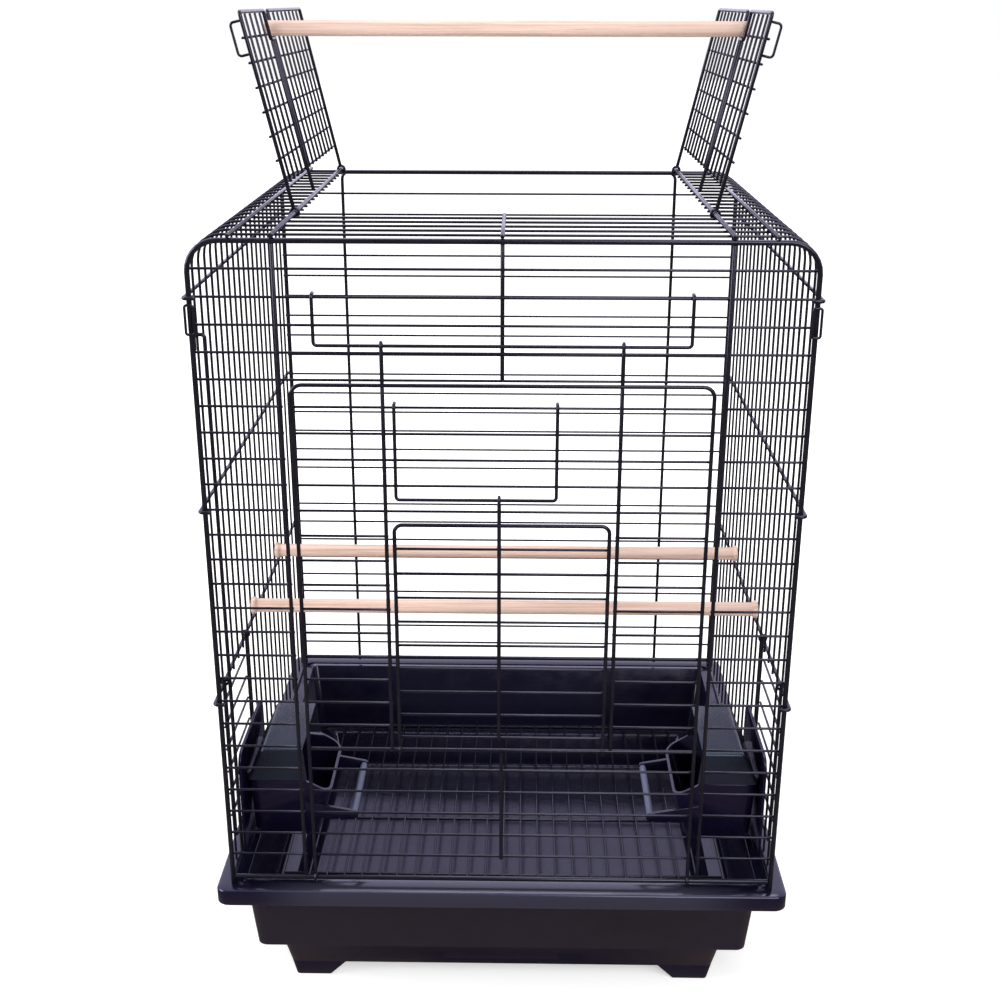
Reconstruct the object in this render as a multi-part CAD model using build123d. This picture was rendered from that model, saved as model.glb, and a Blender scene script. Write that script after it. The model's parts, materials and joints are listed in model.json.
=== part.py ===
from build123d import *
from math import cos, pi, radians, sin, tan
import os

# Parrot cage: a wire body with an opening roof, standing on a moulded plastic base.
# Millimetres, +Z up, front towards -Y, origin under the middle of the base at floor level.

# Driving dimensions of the wire body
pitch = 20.0
panel_rows = 26
body_half_width = 220.0
body_half_depth = 200.0
rail_diameter = 4.0
bar_diameter = 3.0
edge_diameter = 3.6
wire_diameter = 2.0
latch_diameter = 2.6
corner_radius = 22.0
thin_sides = 6
thick_sides = 8
weld_gap = 0.02
clearance = 0.3
overcut = 1.0

# Driving dimensions of the base
base_height = 124.0
rim_half_width = 233.0
rim_half_depth = 213.0
rim_corner = 10.0
lip_height = 14.0
wall = 3.0
tub_top = (213.0, 193.0)
tub_foot = (207.0, 187.0)
step_top = (191.0, 171.0)
step_foot = (184.0, 164.0)
step_height = 51.0
underside_height = 16.0
tub_corner = 8.0
step_corner = 7.0
corner_chords = 3
foot_length = 34.0
foot_depth = 30.0
foot_chamfer = 14.0
foot_inset = 4.0
recess_length = 140.0
recess_rise = 7.0
recess_reach = 16.0
notch_length = 20.0
notch_rise = 14.0
notch_x = 60.0

# Heights of the wire body, worked out from the base
rail_height = base_height + 6.0
top_height = rail_height + pitch * panel_rows
roof_face = top_height + rail_diameter / 2
front_face = -body_half_depth + rail_diameter / 2
back_face = body_half_depth - rail_diameter / 2
side_face = body_half_width + rail_diameter / 2
side_wire_x = side_face - wire_diameter / 2
roof_wire_z = roof_face - wire_diameter / 2
support_x = side_face + bar_diameter / 2 + weld_gap
support_rows = (2, 10, 18)
support_bend = 2.5
support_hook = 5.0
hoop_bend = 7.0
clip_half_width = 3.0
clip_length = 21.0
clip_drop = 5.0
clip_gap = 0.1
clip_bend = 1.6

# The roof opening, the flaps and the play perch
opening_half_width = 160.0
roof_depth_x = 190.0
roof_strip_wires = 5
edge_z = roof_face + edge_diameter / 2
flap_front = -94.0
flap_back = 190.0
flap_length = 148.0
flap_lean = 13.0
flap_rows = 7
flap_row_pitch = 18.0
flap_columns = 14
cradle_y = 12.0
cradle_half_width = 8.5
cradle_depth = 22.0
perch_diameter = 12.0
play_perch_half = 194.0
cradle_gap = 0.8
flap_bend = 3.0
pull_length = 24.0
pull_reach = 9.0
pull_drop = 6.0

# The large front door, the small door in it, and their latches
post_x = 160.0
door_half_width = 152.0
door_top = top_height - 103.0
upright_x = 86.0
sill_height = top_height - 400.0
door_first_row = 6
door_last_row = 25
door_last_upper_row = 10
small_half_width = 80.0
small_top = top_height - 210.0
small_rows = 9
door_bend = 8.0
small_door_bend = 6.0
running_gap = 0.07
eye_wire = 2.4
latch_bar_height = top_height - 74.0
latch_half_width = 134.0
latch_row = 2
latch_plane = -body_half_depth - 0.2
latch_bend = 1.9
latch_reach = 2.0
small_latch_bar_height = top_height - 190.0
small_latch_left = -78.0
small_latch_right = 40.0
small_post_x = -2.0

# The feeders and their doors
feeder_front = -155.0
feeder_back = -71.0
feeder_outer = 213.0
feeder_inner = 140.0
feeder_foot_inner = 156.0
feeder_bottom = top_height - 513.0
feeder_lip = top_height - 472.0
feeder_rim = top_height - 457.0
feeder_wall = 2.4
feeder_taper = 4.0
feeder_wall_taper = 2.0
feeder_corner = 11.0
plate_outer = side_face - rail_diameter - clearance
plate_margin = 10.0
plate_corner = 12.0
shelf_thickness = 4.0
shelf_inset = 12.0
hook_length = 6.0
hook_height = 3.0
hook_half_width = 30.0
hood_top = top_height - 428.0
hood_knee = top_height - 436.0
hood_knee_x = 203.0
hood_crown_x = 200.0
hood_inner = 166.0
hood_lean = 3.0
hood_gap = 0.05
feeder_perch_x = 125.0
feeder_perch_z = top_height - 490.0
feeder_perch_diameter = 6.0
feeder_perch_sides = 12
arm_thickness = 3.0
arm_tip_radius = 3.8
arm_root_x = 166.0
arm_root_rise = 12.0
feeder_door_bend = 4.0
feeder_wires = (3, 4, 5)
feeder_door_front = -164.0
feeder_door_back = -76.0
feeder_door_foot = top_height - 506.0
feeder_door_rows = 6
side_post_y = -168.0
side_post_top = top_height - 74.0
side_post_hook = 8.0
side_post_tip = 12.0

# Perches and floor grille
rear_perch = (62.0, top_height - 338.0)
middle_perch = (-60.0, top_height - 340.0)
perch_end_gap = 0.2
collar_length = 4.0
collar_step = 1.5
grille_pitch = 16.0
grille_gap = 3.0
grille_corner = 8.0
grille_margin = 12.0
grille_z = step_height + wall + bar_diameter / 2


nodes = {}


def section(plane, diameter, sides):
    """A regular outline with one flat square to the plane's x direction."""
    corner = diameter / 2 / cos(pi / sides)
    angles = [(i + 0.5) * 2 * pi / sides for i in range(sides)]
    points = [plane.from_local_coords((corner * cos(a), corner * sin(a), 0)) for a in angles]
    return make_face(Polyline(*points, close=True))


def bar(start, end, diameter, facing, sides=thick_sides):
    """A straight wire whose flats face along the given direction."""
    run = Vector(*end) - Vector(*start)
    plane = Plane(origin=start, x_dir=facing, z_dir=run)
    return extrude(section(plane, diameter, sides), amount=run.length, dir=run.normalized())


def rounded(points, radius, steps=3):
    """The route's points, with each inner corner turned into an arc of short chords."""
    route = [Vector(*p) for p in points]
    result = [route[0]]
    for before, corner, after in zip(route, route[1:], route[2:]):
        u = (before - corner).normalized()
        v = (after - corner).normalized()
        half = radians(u.get_angle(v)) / 2
        centre = corner + (u + v).normalized() * (radius / sin(half))
        start = corner + u * (radius / tan(half)) - centre
        end = corner + v * (radius / tan(half)) - centre
        turn = pi - 2 * half
        for i in range(steps + 1):
            a = turn * i / steps
            result.append(centre + start * (sin(turn - a) / sin(turn)) + end * (sin(a) / sin(turn)))
    result.append(route[-1])
    return result


def bent(points, diameter, facing, radius, sides=thick_sides, steps=3):
    """A bent wire: one outline carried along the rounded route with mitred corners."""
    route = rounded(points, radius, steps)
    path = Wire(Polyline(*route).edges())
    plane = Plane(origin=route[0], x_dir=facing, z_dir=route[1] - route[0])
    return sweep(section(plane, diameter, sides), path=path, transition=Transition.RIGHT)


def eye(centre, inner_radius, thickness, width, axis):
    """A short ring round a hinge bar."""
    plane = Plane(origin=centre, z_dir=axis)
    outer = RegularPolygon(inner_radius + thickness, 12)
    blank = extrude(plane * outer, amount=width / 2, both=True)
    hole = extrude(plane * RegularPolygon(inner_radius, 12, major_radius=False), amount=width, both=True)
    return blank - hole


def pin_hole(diameter):
    """The hole radius that a thick wire of this diameter turns in."""
    return diameter / 2 / cos(pi / thick_sides) + running_gap


def row_z(k):
    return top_height - pitch * k


def side_y(k):
    return -body_half_depth + pitch * k


def group(solids):
    return Compound(children=[s for piece in solids for s in piece.solids()])


def mirrored(shape):
    return mirror(shape, about=Plane.YZ)


def chorded_outline(height, size, radius):
    """A rectangle of two half sizes at one height, each corner turned in a few chords."""
    points = []
    for quarter, (sx, sy) in enumerate(((1, 1), (-1, 1), (-1, -1), (1, -1))):
        for i in range(corner_chords + 1):
            a = pi / 2 * (quarter + i / corner_chords)
            x = sx * (size[0] - radius) + radius * cos(a)
            y = sy * (size[1] - radius) + radius * sin(a)
            points.append((x, y, height))
    return make_face(Polyline(*points, close=True))


def rounded_block(low, high, size_low, size_high, radius):
    """A tapered block with rounded upright corners, between two heights."""
    return loft([chorded_outline(low, size_low, radius), chorded_outline(high, size_high, radius)],
                ruled=True)


def shrunk(size, by):
    return (size[0] - by, size[1] - by)


def tub_block():
    """The upper part of the base, before it is hollowed out."""
    return rounded_block(step_height, base_height, tub_foot, tub_top, tub_corner)


def step_hollow():
    """The space inside the stepped-in lower part, which opens into the tub above it."""
    return rounded_block(underside_height + wall, step_height + wall + overcut,
                         shrunk(step_foot, wall), shrunk(step_top, wall), step_corner - wall)


def make_base_rim():
    """The flange round the tub's mouth, with the lip that hangs from its edge."""
    edge = (rim_half_width, rim_half_depth)
    lip_foot = base_height - lip_height
    groove = rounded_block(lip_foot - overcut, base_height - wall, shrunk(edge, wall), shrunk(edge, wall),
                           rim_corner - wall)
    return rounded_block(lip_foot, base_height, edge, edge, rim_corner) - groove - tub_block()


def make_base_tub():
    """The upper walls, and the ledge that the grille rests on."""
    hollow = rounded_block(step_height + wall, base_height + overcut, shrunk(tub_foot, wall),
                           shrunk(tub_top, wall), tub_corner - wall)
    return tub_block() - hollow - step_hollow()


def make_base_pan():
    """The stepped-in lower walls and the floor."""
    block = rounded_block(underside_height, step_height, step_foot, step_top, step_corner)
    return block - step_hollow() - make_front_recess()


def make_foot():
    """A moulded foot under the right rear corner, chamfered on the side towards the middle."""
    outer_x = step_foot[0]
    profile = make_face(
        Polyline(
            (outer_x - foot_inset, 0),
            (outer_x - foot_length, 0),
            (outer_x - foot_length - foot_chamfer, underside_height),
            (outer_x, underside_height),
            close=True,
        )
    )
    solid = extrude(Plane.XZ.offset(-step_foot[1]) * profile, amount=foot_depth)
    return solid & rounded_block(0, underside_height, shrunk(step_foot, foot_inset), step_foot,
                                 step_corner - foot_inset)


def make_base_feet():
    rear = [make_foot(), mirrored(make_foot())]
    return group(rear + [mirror(foot, about=Plane.XZ) for foot in rear])


def make_front_recess():
    """The shallow cut along the front's lower edge, with a deeper finger notch at each end."""
    middle = Pos(0, -step_foot[1] - recess_reach / 2, underside_height)
    long_cut = middle * Box(recess_length, recess_reach, 2 * recess_rise)
    notch = middle * Box(notch_length, recess_reach, 2 * notch_rise)
    return long_cut.fuse(Pos(-notch_x, 0, 0) * notch, Pos(notch_x, 0, 0) * notch)


def make_grille():
    """The wire ring on the tub's ledge, and the ribs and wires that it carries."""
    half_x = tub_foot[0] - wall - grille_gap
    half_y = tub_foot[1] - wall - grille_gap
    nodes["grille_ring"] = bent(
        [(0, -half_y, grille_z), (half_x, -half_y, grille_z), (half_x, half_y, grille_z),
         (-half_x, half_y, grille_z), (-half_x, -half_y, grille_z), (0, -half_y, grille_z)],
        bar_diameter, (0, 0, 1), grille_corner, thin_sides, 2,
    )
    z = grille_z + bar_diameter / 2 + wire_diameter / 2
    count = int((half_x - grille_margin) // grille_pitch)
    wires = [
        bar((i * grille_pitch, -half_y, z), (i * grille_pitch, half_y, z),
            wire_diameter, (0, 0, 1), thin_sides)
        for i in range(-count, count + 1)
    ]
    rib_end = half_x - bar_diameter / 2 / cos(pi / thin_sides)
    ribs = [
        bar((-rib_end, y, grille_z), (rib_end, y, grille_z), bar_diameter, (0, 0, 1), thin_sides)
        for y in (-half_y / 2, 0, half_y / 2)
    ]
    nodes["floor_grille"] = group(wires + ribs)


def panel_frame(y):
    """An inverted U of rail wire: two corner posts and the rounded top rail."""
    x = body_half_width
    foot = base_height + clearance
    return bent([(-x, y, foot), (-x, y, top_height), (x, y, top_height), (x, y, foot)],
                rail_diameter, (0, 1, 0), corner_radius)


def make_bottom_rails():
    x = body_half_width - rail_diameter / 2
    y = body_half_depth - rail_diameter / 2
    front_back = [bar((-x, s * body_half_depth, rail_height), (x, s * body_half_depth, rail_height),
                      rail_diameter, (0, 0, 1)) for s in (-1, 1)]
    sides = [bar((s * body_half_width, -y, rail_height), (s * body_half_width, y, rail_height),
                 rail_diameter, (0, 0, 1)) for s in (-1, 1)]
    return group(front_back + sides)


def front_row(k, x0, x1, y=None, diameter=wire_diameter):
    y = front_face + diameter / 2 if y is None else y
    return bar((x0, y, row_z(k)), (x1, y, row_z(k)), diameter, (0, 1, 0), thin_sides)


def make_front_rows():
    edge = side_face
    inner = post_x - bar_diameter / 2
    nodes["front_rows_upper"] = group([front_row(k, -edge, edge) for k in range(1, door_first_row)])
    beside_door = range(door_first_row, panel_rows)
    nodes["front_rows_left"] = group([front_row(k, -edge, -inner) for k in beside_door])
    nodes["front_rows_right"] = group([front_row(k, inner, edge) for k in beside_door])


def make_front_posts():
    y = front_face - bar_diameter / 2
    low = rail_height + rail_diameter / 2
    high = top_height - rail_diameter / 2
    posts = [bar((s * post_x, y, low), (s * post_x, y, high), bar_diameter, (0, 1, 0)) for s in (-1, 1)]
    inner_y = front_face + wire_diameter + bar_diameter / 2
    centre_foot = row_z(door_first_row - 1) - wire_diameter / 2
    centre = bar((0, inner_y, centre_foot), (0, inner_y, high), bar_diameter, (0, 1, 0))
    return group(posts + [centre])


def make_back_rows():
    y = back_face - wire_diameter / 2
    return group([
        bar((-side_face, y, row_z(k)), (side_face, y, row_z(k)), wire_diameter, (0, 1, 0), thin_sides)
        for k in range(1, panel_rows)
    ])


def make_back_hoops():
    """Two inverted U hoops that stiffen the back panel, side by side."""
    y = back_face - wire_diameter - bar_diameter / 2
    low = rail_height
    high = top_height + wire_diameter / 2
    hoops = []
    for x0, x1 in ((-post_x, -bar_diameter / 2), (bar_diameter / 2, post_x)):
        hoops.append(bent([(x0, y, low), (x0, y, high), (x1, y, high), (x1, y, low)],
                          bar_diameter, (0, 1, 0), hoop_bend, thick_sides, 2))
    return group(hoops)


def side_wire(low):
    """One side wire: up the wall, over the rounded shoulder and in to the roof opening's edge."""
    return bent([(side_wire_x, 0, low), (side_wire_x, 0, roof_wire_z),
                 (opening_half_width - edge_diameter / 2, 0, roof_wire_z)],
                wire_diameter, (1, 0, 0), corner_radius, thin_sides)


def make_side_wires():
    pattern = side_wire(rail_height + rail_diameter / 2)
    last = int(2 * body_half_depth / pitch)
    right = [Pos(0, side_y(k), 0) * pattern for k in range(roof_strip_wires + 1, last)]
    nodes["right_side_wires"] = group(right)
    nodes["left_side_wires"] = mirrored(nodes["right_side_wires"])


def make_roof_hoops():
    """The front wires that run up one side, across the roof and down the other side."""
    x = side_wire_x
    low = rail_height + rail_diameter / 2
    short = row_z(support_rows[-1]) - bar_diameter / 2
    hoops = []
    for k in range(1, roof_strip_wires + 1):
        foot = short if k in feeder_wires else low
        y = side_y(k)
        hoops.append(bent([(-x, y, foot), (-x, y, roof_wire_z), (x, y, roof_wire_z), (x, y, foot)],
                          wire_diameter, (1, 0, 0), corner_radius, thin_sides))
    return group(hoops)


def make_side_supports():
    """Depth wires outside the right wall, hooked round the front corner post."""
    back = body_half_depth + rail_diameter / 2
    front = -back - bar_diameter / 2 - weld_gap
    wires = []
    for k in support_rows:
        z = row_z(k)
        route = [(support_x, back, z), (support_x, front, z), (body_half_width - support_hook, front, z)]
        wires.append(bent(route, bar_diameter, (0, 0, 1), support_bend, thick_sides, 2))
    return group(wires)


def make_corner_clip():
    """A narrow closed wire loop that holds the side wall to the front panel."""
    y = front_face - rail_diameter - wire_diameter / 2 - clip_gap
    high = row_z(support_rows[0]) - clip_drop
    low = high - clip_length
    x = body_half_width
    x0 = x - clip_half_width
    x1 = x + clip_half_width
    return bent([(x, y, low), (x1, y, low), (x1, y, high), (x0, y, high), (x0, y, low), (x, y, low)],
                wire_diameter, (0, 1, 0), clip_bend, thin_sides, 2)


def make_roof_edges():
    """The two thick wires along the roof opening, on top of the roof wires."""
    y = body_half_depth + rail_diameter / 2
    edges = [bar((s * opening_half_width, -y, edge_z), (s * opening_half_width, y, edge_z),
                 edge_diameter, (0, 0, 1)) for s in (-1, 1)]
    return group(edges)


def make_roof_depth_wires():
    z = roof_face + bar_diameter / 2
    y = body_half_depth + rail_diameter / 2
    wires = [bar((x, -y, z), (x, y, z), bar_diameter, (0, 0, 1)) for x in (-roof_depth_x, roof_depth_x)]
    strip_end = side_y(roof_strip_wires) + rail_diameter / 2
    wires.append(bar((0, -y, z), (0, strip_end, z), bar_diameter, (0, 0, 1)))
    return group(wires)


def make_perch(y, z):
    """A dowel between the side walls, with a collar either side of the wall wires at each end."""
    half = side_face - wire_diameter - perch_end_gap
    dowel = Rot(0, 90, 0) * Cylinder(perch_diameter / 2, 2 * half)
    collar = Rot(0, 90, 0) * Cylinder(perch_diameter / 2 + collar_step, collar_length)
    collars = [Pos(s * (half - collar_length / 2), 0, 0) * collar for s in (-1, 1)]
    return Pos(0, y, z) * dowel.fuse(*collars)


def make_large_door():
    y = -body_half_depth
    x = door_half_width
    hole = pin_hole(rail_diameter)
    low = rail_height + hole + eye_wire / 2
    frame = bent([(-x, y, low), (-x, y, door_top), (x, y, door_top), (x, y, low)],
                 bar_diameter, (0, 1, 0), door_bend, thick_sides, 2)
    for s in (-1, 1):
        frame += eye((s * x, y, rail_height), hole, eye_wire, bar_diameter, (1, 0, 0))
    nodes["large_door_frame"] = frame
    inner = x - bar_diameter / 2
    nodes["large_door_sill"] = bar((-inner, y, sill_height), (inner, y, sill_height),
                                   bar_diameter, (0, 1, 0))
    row_y = y + bar_diameter / 2 + wire_diameter / 2
    end = x + bar_diameter / 2
    split_end = upright_x - bar_diameter / 2
    upper_rows = []
    lower_rows = []
    left_rows = []
    right_rows = []
    for k in range(door_first_row, door_last_row + 1):
        if k <= door_last_upper_row:
            upper_rows.append(front_row(k, -end, end, row_y))
        elif row_z(k) < sill_height:
            lower_rows.append(front_row(k, -end, end, row_y))
        elif row_z(k) > sill_height:
            left_rows.append(front_row(k, -end, -split_end, row_y))
            right_rows.append(front_row(k, split_end, end, row_y))
    nodes["large_door_upper_rows"] = group(upper_rows)
    nodes["large_door_lower_rows"] = group(lower_rows)
    nodes["large_door_left_rows"] = group(left_rows)
    nodes["large_door_right_rows"] = group(right_rows)
    for name, s in (("left", -1), ("right", 1)):
        nodes[f"large_door_{name}_upright"] = make_upright(s * upright_x)
    post_foot = row_z(door_last_row) - wire_diameter / 2
    nodes["large_door_lower_post"] = bar((0, y, post_foot), (0, y, sill_height - bar_diameter / 2),
                                         bar_diameter, (0, 1, 0))


def latch_post(x, low, high, bar_z):
    """A short upright that ends in an eye round a latch bar."""
    hole = pin_hole(latch_diameter)
    stub = bar((x, -body_half_depth, low), (x, -body_half_depth, bar_z - hole - eye_wire / 2),
               bar_diameter, (0, 1, 0))
    return stub + eye((x, latch_plane, bar_z), hole, eye_wire, bar_diameter, (1, 0, 0))


def make_upright(x):
    y = -body_half_depth
    lower = bar((x, y, sill_height + bar_diameter / 2), (x, y, door_top - bar_diameter / 2),
                bar_diameter, (0, 1, 0))
    return group([lower, latch_post(x, door_top + bar_diameter / 2, door_top, latch_bar_height)])


def u_latch(x0, x1, bar_z, hook_row):
    """A U-shaped wire latch: its bar turns in the eyes, and both tips reach back over a row."""
    y = latch_plane
    row_back = front_face + wire_diameter + latch_reach
    tip_z = row_z(hook_row) + wire_diameter / 2 + clearance + latch_diameter / 2
    return bent([(x0, row_back, tip_z), (x0, y, tip_z), (x0, y, bar_z), (x1, y, bar_z), (x1, y, tip_z),
                 (x1, row_back, tip_z)], latch_diameter, (1, 0, 0), latch_bend, thick_sides, 2)


def make_small_door():
    y = -body_half_depth
    x = small_half_width
    hole = pin_hole(bar_diameter)
    low = sill_height + hole + eye_wire / 2
    frame = bent([(-x, y, low), (-x, y, small_top), (x, y, small_top), (x, y, low)],
                 bar_diameter, (0, 1, 0), small_door_bend, thick_sides, 2)
    for s in (-1, 1):
        frame += eye((s * x, y, sill_height), hole, eye_wire, bar_diameter, (1, 0, 0))
    nodes["small_door_frame"] = frame
    end = x + bar_diameter / 2
    row_y = y + bar_diameter / 2 + wire_diameter / 2
    rows = [bar((-end, row_y, small_top - pitch * k), (end, row_y, small_top - pitch * k),
                wire_diameter, (0, 1, 0), thin_sides) for k in range(1, small_rows + 1)]
    nodes["small_door_rows"] = group(rows)
    foot = small_top - pitch * small_rows - wire_diameter / 2
    lower = bar((small_post_x, y, foot), (small_post_x, y, small_top - bar_diameter / 2),
                bar_diameter, (0, 1, 0))
    upper = latch_post(small_post_x, small_top + bar_diameter / 2, small_top, small_latch_bar_height)
    nodes["small_door_post"] = group([lower, upper])


def lean(shape):
    """Moves a flap drawn upright over the origin onto the left edge wire, leaned outwards."""
    return Pos(-opening_half_width, 0, edge_z) * Rot(0, -flap_lean, 0) * shape


def make_left_flap():
    hole = pin_hole(edge_diameter)
    low = hole + eye_wire / 2
    top = flap_length
    c0 = cradle_y - cradle_half_width
    c1 = cradle_y + cradle_half_width
    dip = top - cradle_depth
    frame = bent([(0, flap_front, low), (0, flap_front, top), (0, c0, top), (0, c0, dip), (0, c1, dip),
                  (0, c1, top), (0, flap_back, top), (0, flap_back, low)],
                 bar_diameter, (1, 0, 0), flap_bend, thick_sides, 2)
    for y in (flap_front, flap_back):
        frame += eye((0, y, 0), hole, eye_wire, bar_diameter, (0, 1, 0))
    nodes["left_flap_frame"] = lean(frame)
    edge = bar_diameter / 2
    row_x = -edge - wire_diameter / 2
    heights = [top - flap_row_pitch * k for k in range(1, flap_rows + 1)]
    spans = [(flap_front - edge, c0 + edge, heights[0]), (c1 - edge, flap_back + edge, heights[0])]
    spans += [(flap_front - edge, flap_back + edge, z) for z in heights[1:]]
    rows = [bar((row_x, y0, z), (row_x, y1, z), wire_diameter, (1, 0, 0), thin_sides) for y0, y1, z in spans]
    nodes["left_flap_rows"] = lean(group(rows))
    column_x = -edge + wire_diameter / 2
    step = (flap_back - flap_front) / flap_columns
    columns = []
    for i in range(1, flap_columns):
        y = flap_front + step * i
        high = (dip if c0 - edge < y < c1 + edge else top) - edge
        columns.append(bar((column_x, y, heights[-1] - wire_diameter / 2), (column_x, y, high),
                           wire_diameter, (1, 0, 0), thin_sides))
    nodes["left_flap_columns"] = lean(group(columns))
    pull_top = top - pull_drop
    pull_foot = pull_top - pull_length
    pull = bent([(-edge, flap_front, pull_top), (-pull_reach, flap_front, pull_top),
                 (-pull_reach, flap_front, pull_foot), (-edge, flap_front, pull_foot)],
                wire_diameter, (0, 1, 0), flap_bend, thin_sides, 2)
    nodes["left_flap_pull"] = lean(pull)


def make_play_perch():
    along = flap_length - cradle_depth + bar_diameter / 2 + perch_diameter / 2 + cradle_gap
    z = edge_z + along * cos(radians(flap_lean))
    return Pos(0, cradle_y, z) * Rot(0, 90, 0) * Cylinder(perch_diameter / 2, 2 * play_perch_half)


def feeder_block(low, high, inset):
    """The bowl's tapered block on the right wall between two heights, drawn in by an inset."""
    middle_y = (feeder_front + feeder_back) / 2
    half_y = (feeder_back - feeder_front) / 2 - inset
    foot = (low, feeder_foot_inner, feeder_outer - feeder_wall_taper, half_y - feeder_taper)
    mouth = (high, feeder_inner, feeder_outer, half_y)
    outlines = []
    for z, x0, x1, reach in (foot, mouth):
        outline = chorded_outline(z, ((x1 - x0) / 2 - inset, reach), feeder_corner - inset)
        outlines.append(Pos((x0 + x1) / 2, middle_y) * outline)
    return loft(outlines, ruled=True)


def feeder_scoop():
    """The wedge that is cut off the bowl, so that its rim dips towards the cage."""
    slope = (feeder_rim - feeder_lip) / (hood_inner - feeder_inner)
    reach = feeder_inner - overcut
    side = make_face(Polyline((reach, feeder_lip - slope * overcut), (hood_inner, feeder_rim),
                              (hood_inner, feeder_rim + overcut), (reach, feeder_rim + overcut), close=True))
    return extrude(Plane.XZ.offset(-feeder_back - overcut) * side,
                   amount=feeder_back - feeder_front + 2 * overcut)


def feeder_arm():
    """The flat arm at the bowl's rear end, from the bowl's wall to the perch bar."""
    turns = [pi / 2 + pi * i / corner_chords for i in range(corner_chords + 1)]
    tip = [(feeder_perch_x + arm_tip_radius * cos(a), feeder_perch_z + arm_tip_radius * sin(a))
           for a in turns]
    root = [(arm_root_x, feeder_perch_z - arm_tip_radius), (arm_root_x, feeder_perch_z + arm_root_rise)]
    return extrude(Plane.XZ.offset(-feeder_back) * make_face(Polyline(*tip, *root, close=True)),
                   amount=arm_thickness)


def feeder_plate():
    """The plate between the bowl and the wall's wires, with its upper corners rounded."""
    low = rail_height + rail_diameter / 2 + clearance
    front = feeder_front - plate_margin
    back = feeder_back + plate_margin
    points = [(back, low), (back, hood_top), (front, hood_top), (front, low)]
    outline = rounded([(plate_outer - feeder_wall, y, z) for y, z in points], plate_corner)
    return extrude(make_face(Polyline(*outline, close=True)), amount=feeder_wall, dir=(1, 0, 0))


def make_right_feeder_cup():
    """The bowl with its arms, and the back plate that stands on the wall's bottom rail."""
    bowl = feeder_block(feeder_bottom, feeder_rim, 0)
    rear_arm = feeder_arm()
    front_arm = Pos(0, feeder_front - feeder_back + arm_thickness, 0) * rear_arm
    shelf_inner = feeder_outer - feeder_wall / 2
    shelf = Pos((shelf_inner + plate_outer) / 2, (feeder_front + feeder_back) / 2,
                feeder_rim - shelf_thickness / 2) * Box(
        plate_outer - shelf_inner, feeder_back - feeder_front - 2 * shelf_inset, shelf_thickness)
    hook = Pos(plate_outer, side_y(feeder_wires[1]),
               rail_height + rail_diameter / 2 + clearance + hook_height / 2) * Box(
        hook_length, 2 * hook_half_width, hook_height)
    body = bowl.fuse(rear_arm, front_arm)
    body -= feeder_block(feeder_bottom + feeder_wall, feeder_rim + weld_gap, feeder_wall)
    body -= feeder_scoop()
    return body.fuse(feeder_plate(), shelf, hook)


def make_right_feeder_hood():
    """The smoked hood over the outer part of the bowl, open below and towards the cage."""
    width = feeder_back - feeder_front
    low = feeder_rim + hood_gap
    outer = make_face(Polyline((feeder_outer, low), (hood_knee_x, hood_knee), (hood_crown_x, hood_top),
                               (hood_inner, hood_top), (hood_inner - hood_lean, low), close=True))
    t = feeder_wall
    mouth = hood_inner - 2 * hood_lean
    hollow = make_face(Polyline((feeder_outer - t, low - overcut), (feeder_outer - t, low),
                                (hood_knee_x - t, hood_knee), (hood_crown_x - t, hood_top - t),
                                (mouth, hood_top - t), (mouth, low - overcut), close=True))
    solid = extrude(Plane.XZ.offset(-feeder_back) * outer, amount=width)
    return solid - extrude(Plane.XZ.offset(-feeder_back + t) * hollow, amount=width - 2 * t)


def make_right_feeder_perch():
    """The perch bar in front of the bowl, between its two arms."""
    ends = [(feeder_perch_x, y, feeder_perch_z)
            for y in (feeder_front + arm_thickness, feeder_back - arm_thickness)]
    return bar(*ends, feeder_perch_diameter, (0, 0, 1), feeder_perch_sides)


def make_right_feeder_door():
    """The wire door that hangs on the lowest side support, outside the feeder's opening."""
    hole = pin_hole(bar_diameter)
    hinge_z = row_z(support_rows[-1])
    x = support_x
    y0 = feeder_door_front
    y1 = feeder_door_back
    top = hinge_z - hole - eye_wire / 2
    frame = bent([(x, y0, top), (x, y0, feeder_door_foot), (x, y1, feeder_door_foot), (x, y1, top)],
                 eye_wire, (1, 0, 0), feeder_door_bend, thick_sides, 2)
    for y in (y0, y1):
        frame += eye((x, y, hinge_z), hole, eye_wire, bar_diameter, (0, 1, 0))
    nodes["right_feeder_door_frame"] = frame
    row_x = x + eye_wire / 2 + wire_diameter / 2
    edge = eye_wire / 2
    spacing = (hinge_z - feeder_door_foot) / (feeder_door_rows + 1)
    rows = [bar((row_x, y0 - edge, hinge_z - spacing * k), (row_x, y1 + edge, hinge_z - spacing * k),
                wire_diameter, (1, 0, 0), thin_sides) for k in range(1, feeder_door_rows + 1)]
    nodes["right_feeder_door_rows"] = group(rows)


def make_left_side_post():
    """A thick upright inside the left wall, with its top end hooked out and down."""
    x = -(side_face - wire_diameter - bar_diameter / 2)
    y = side_post_y
    high = side_post_top
    hook_x = x - side_post_hook
    return bent([(x, y, rail_height + rail_diameter / 2), (x, y, high), (hook_x, y, high),
                 (hook_x, y, high - side_post_tip)],
                bar_diameter, (0, 1, 0), support_bend, thick_sides, 2)


nodes["base_rim"] = make_base_rim()
nodes["base_tub"] = make_base_tub()
nodes["base_pan"] = make_base_pan()
nodes["base_feet"] = make_base_feet()
make_grille()

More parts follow.
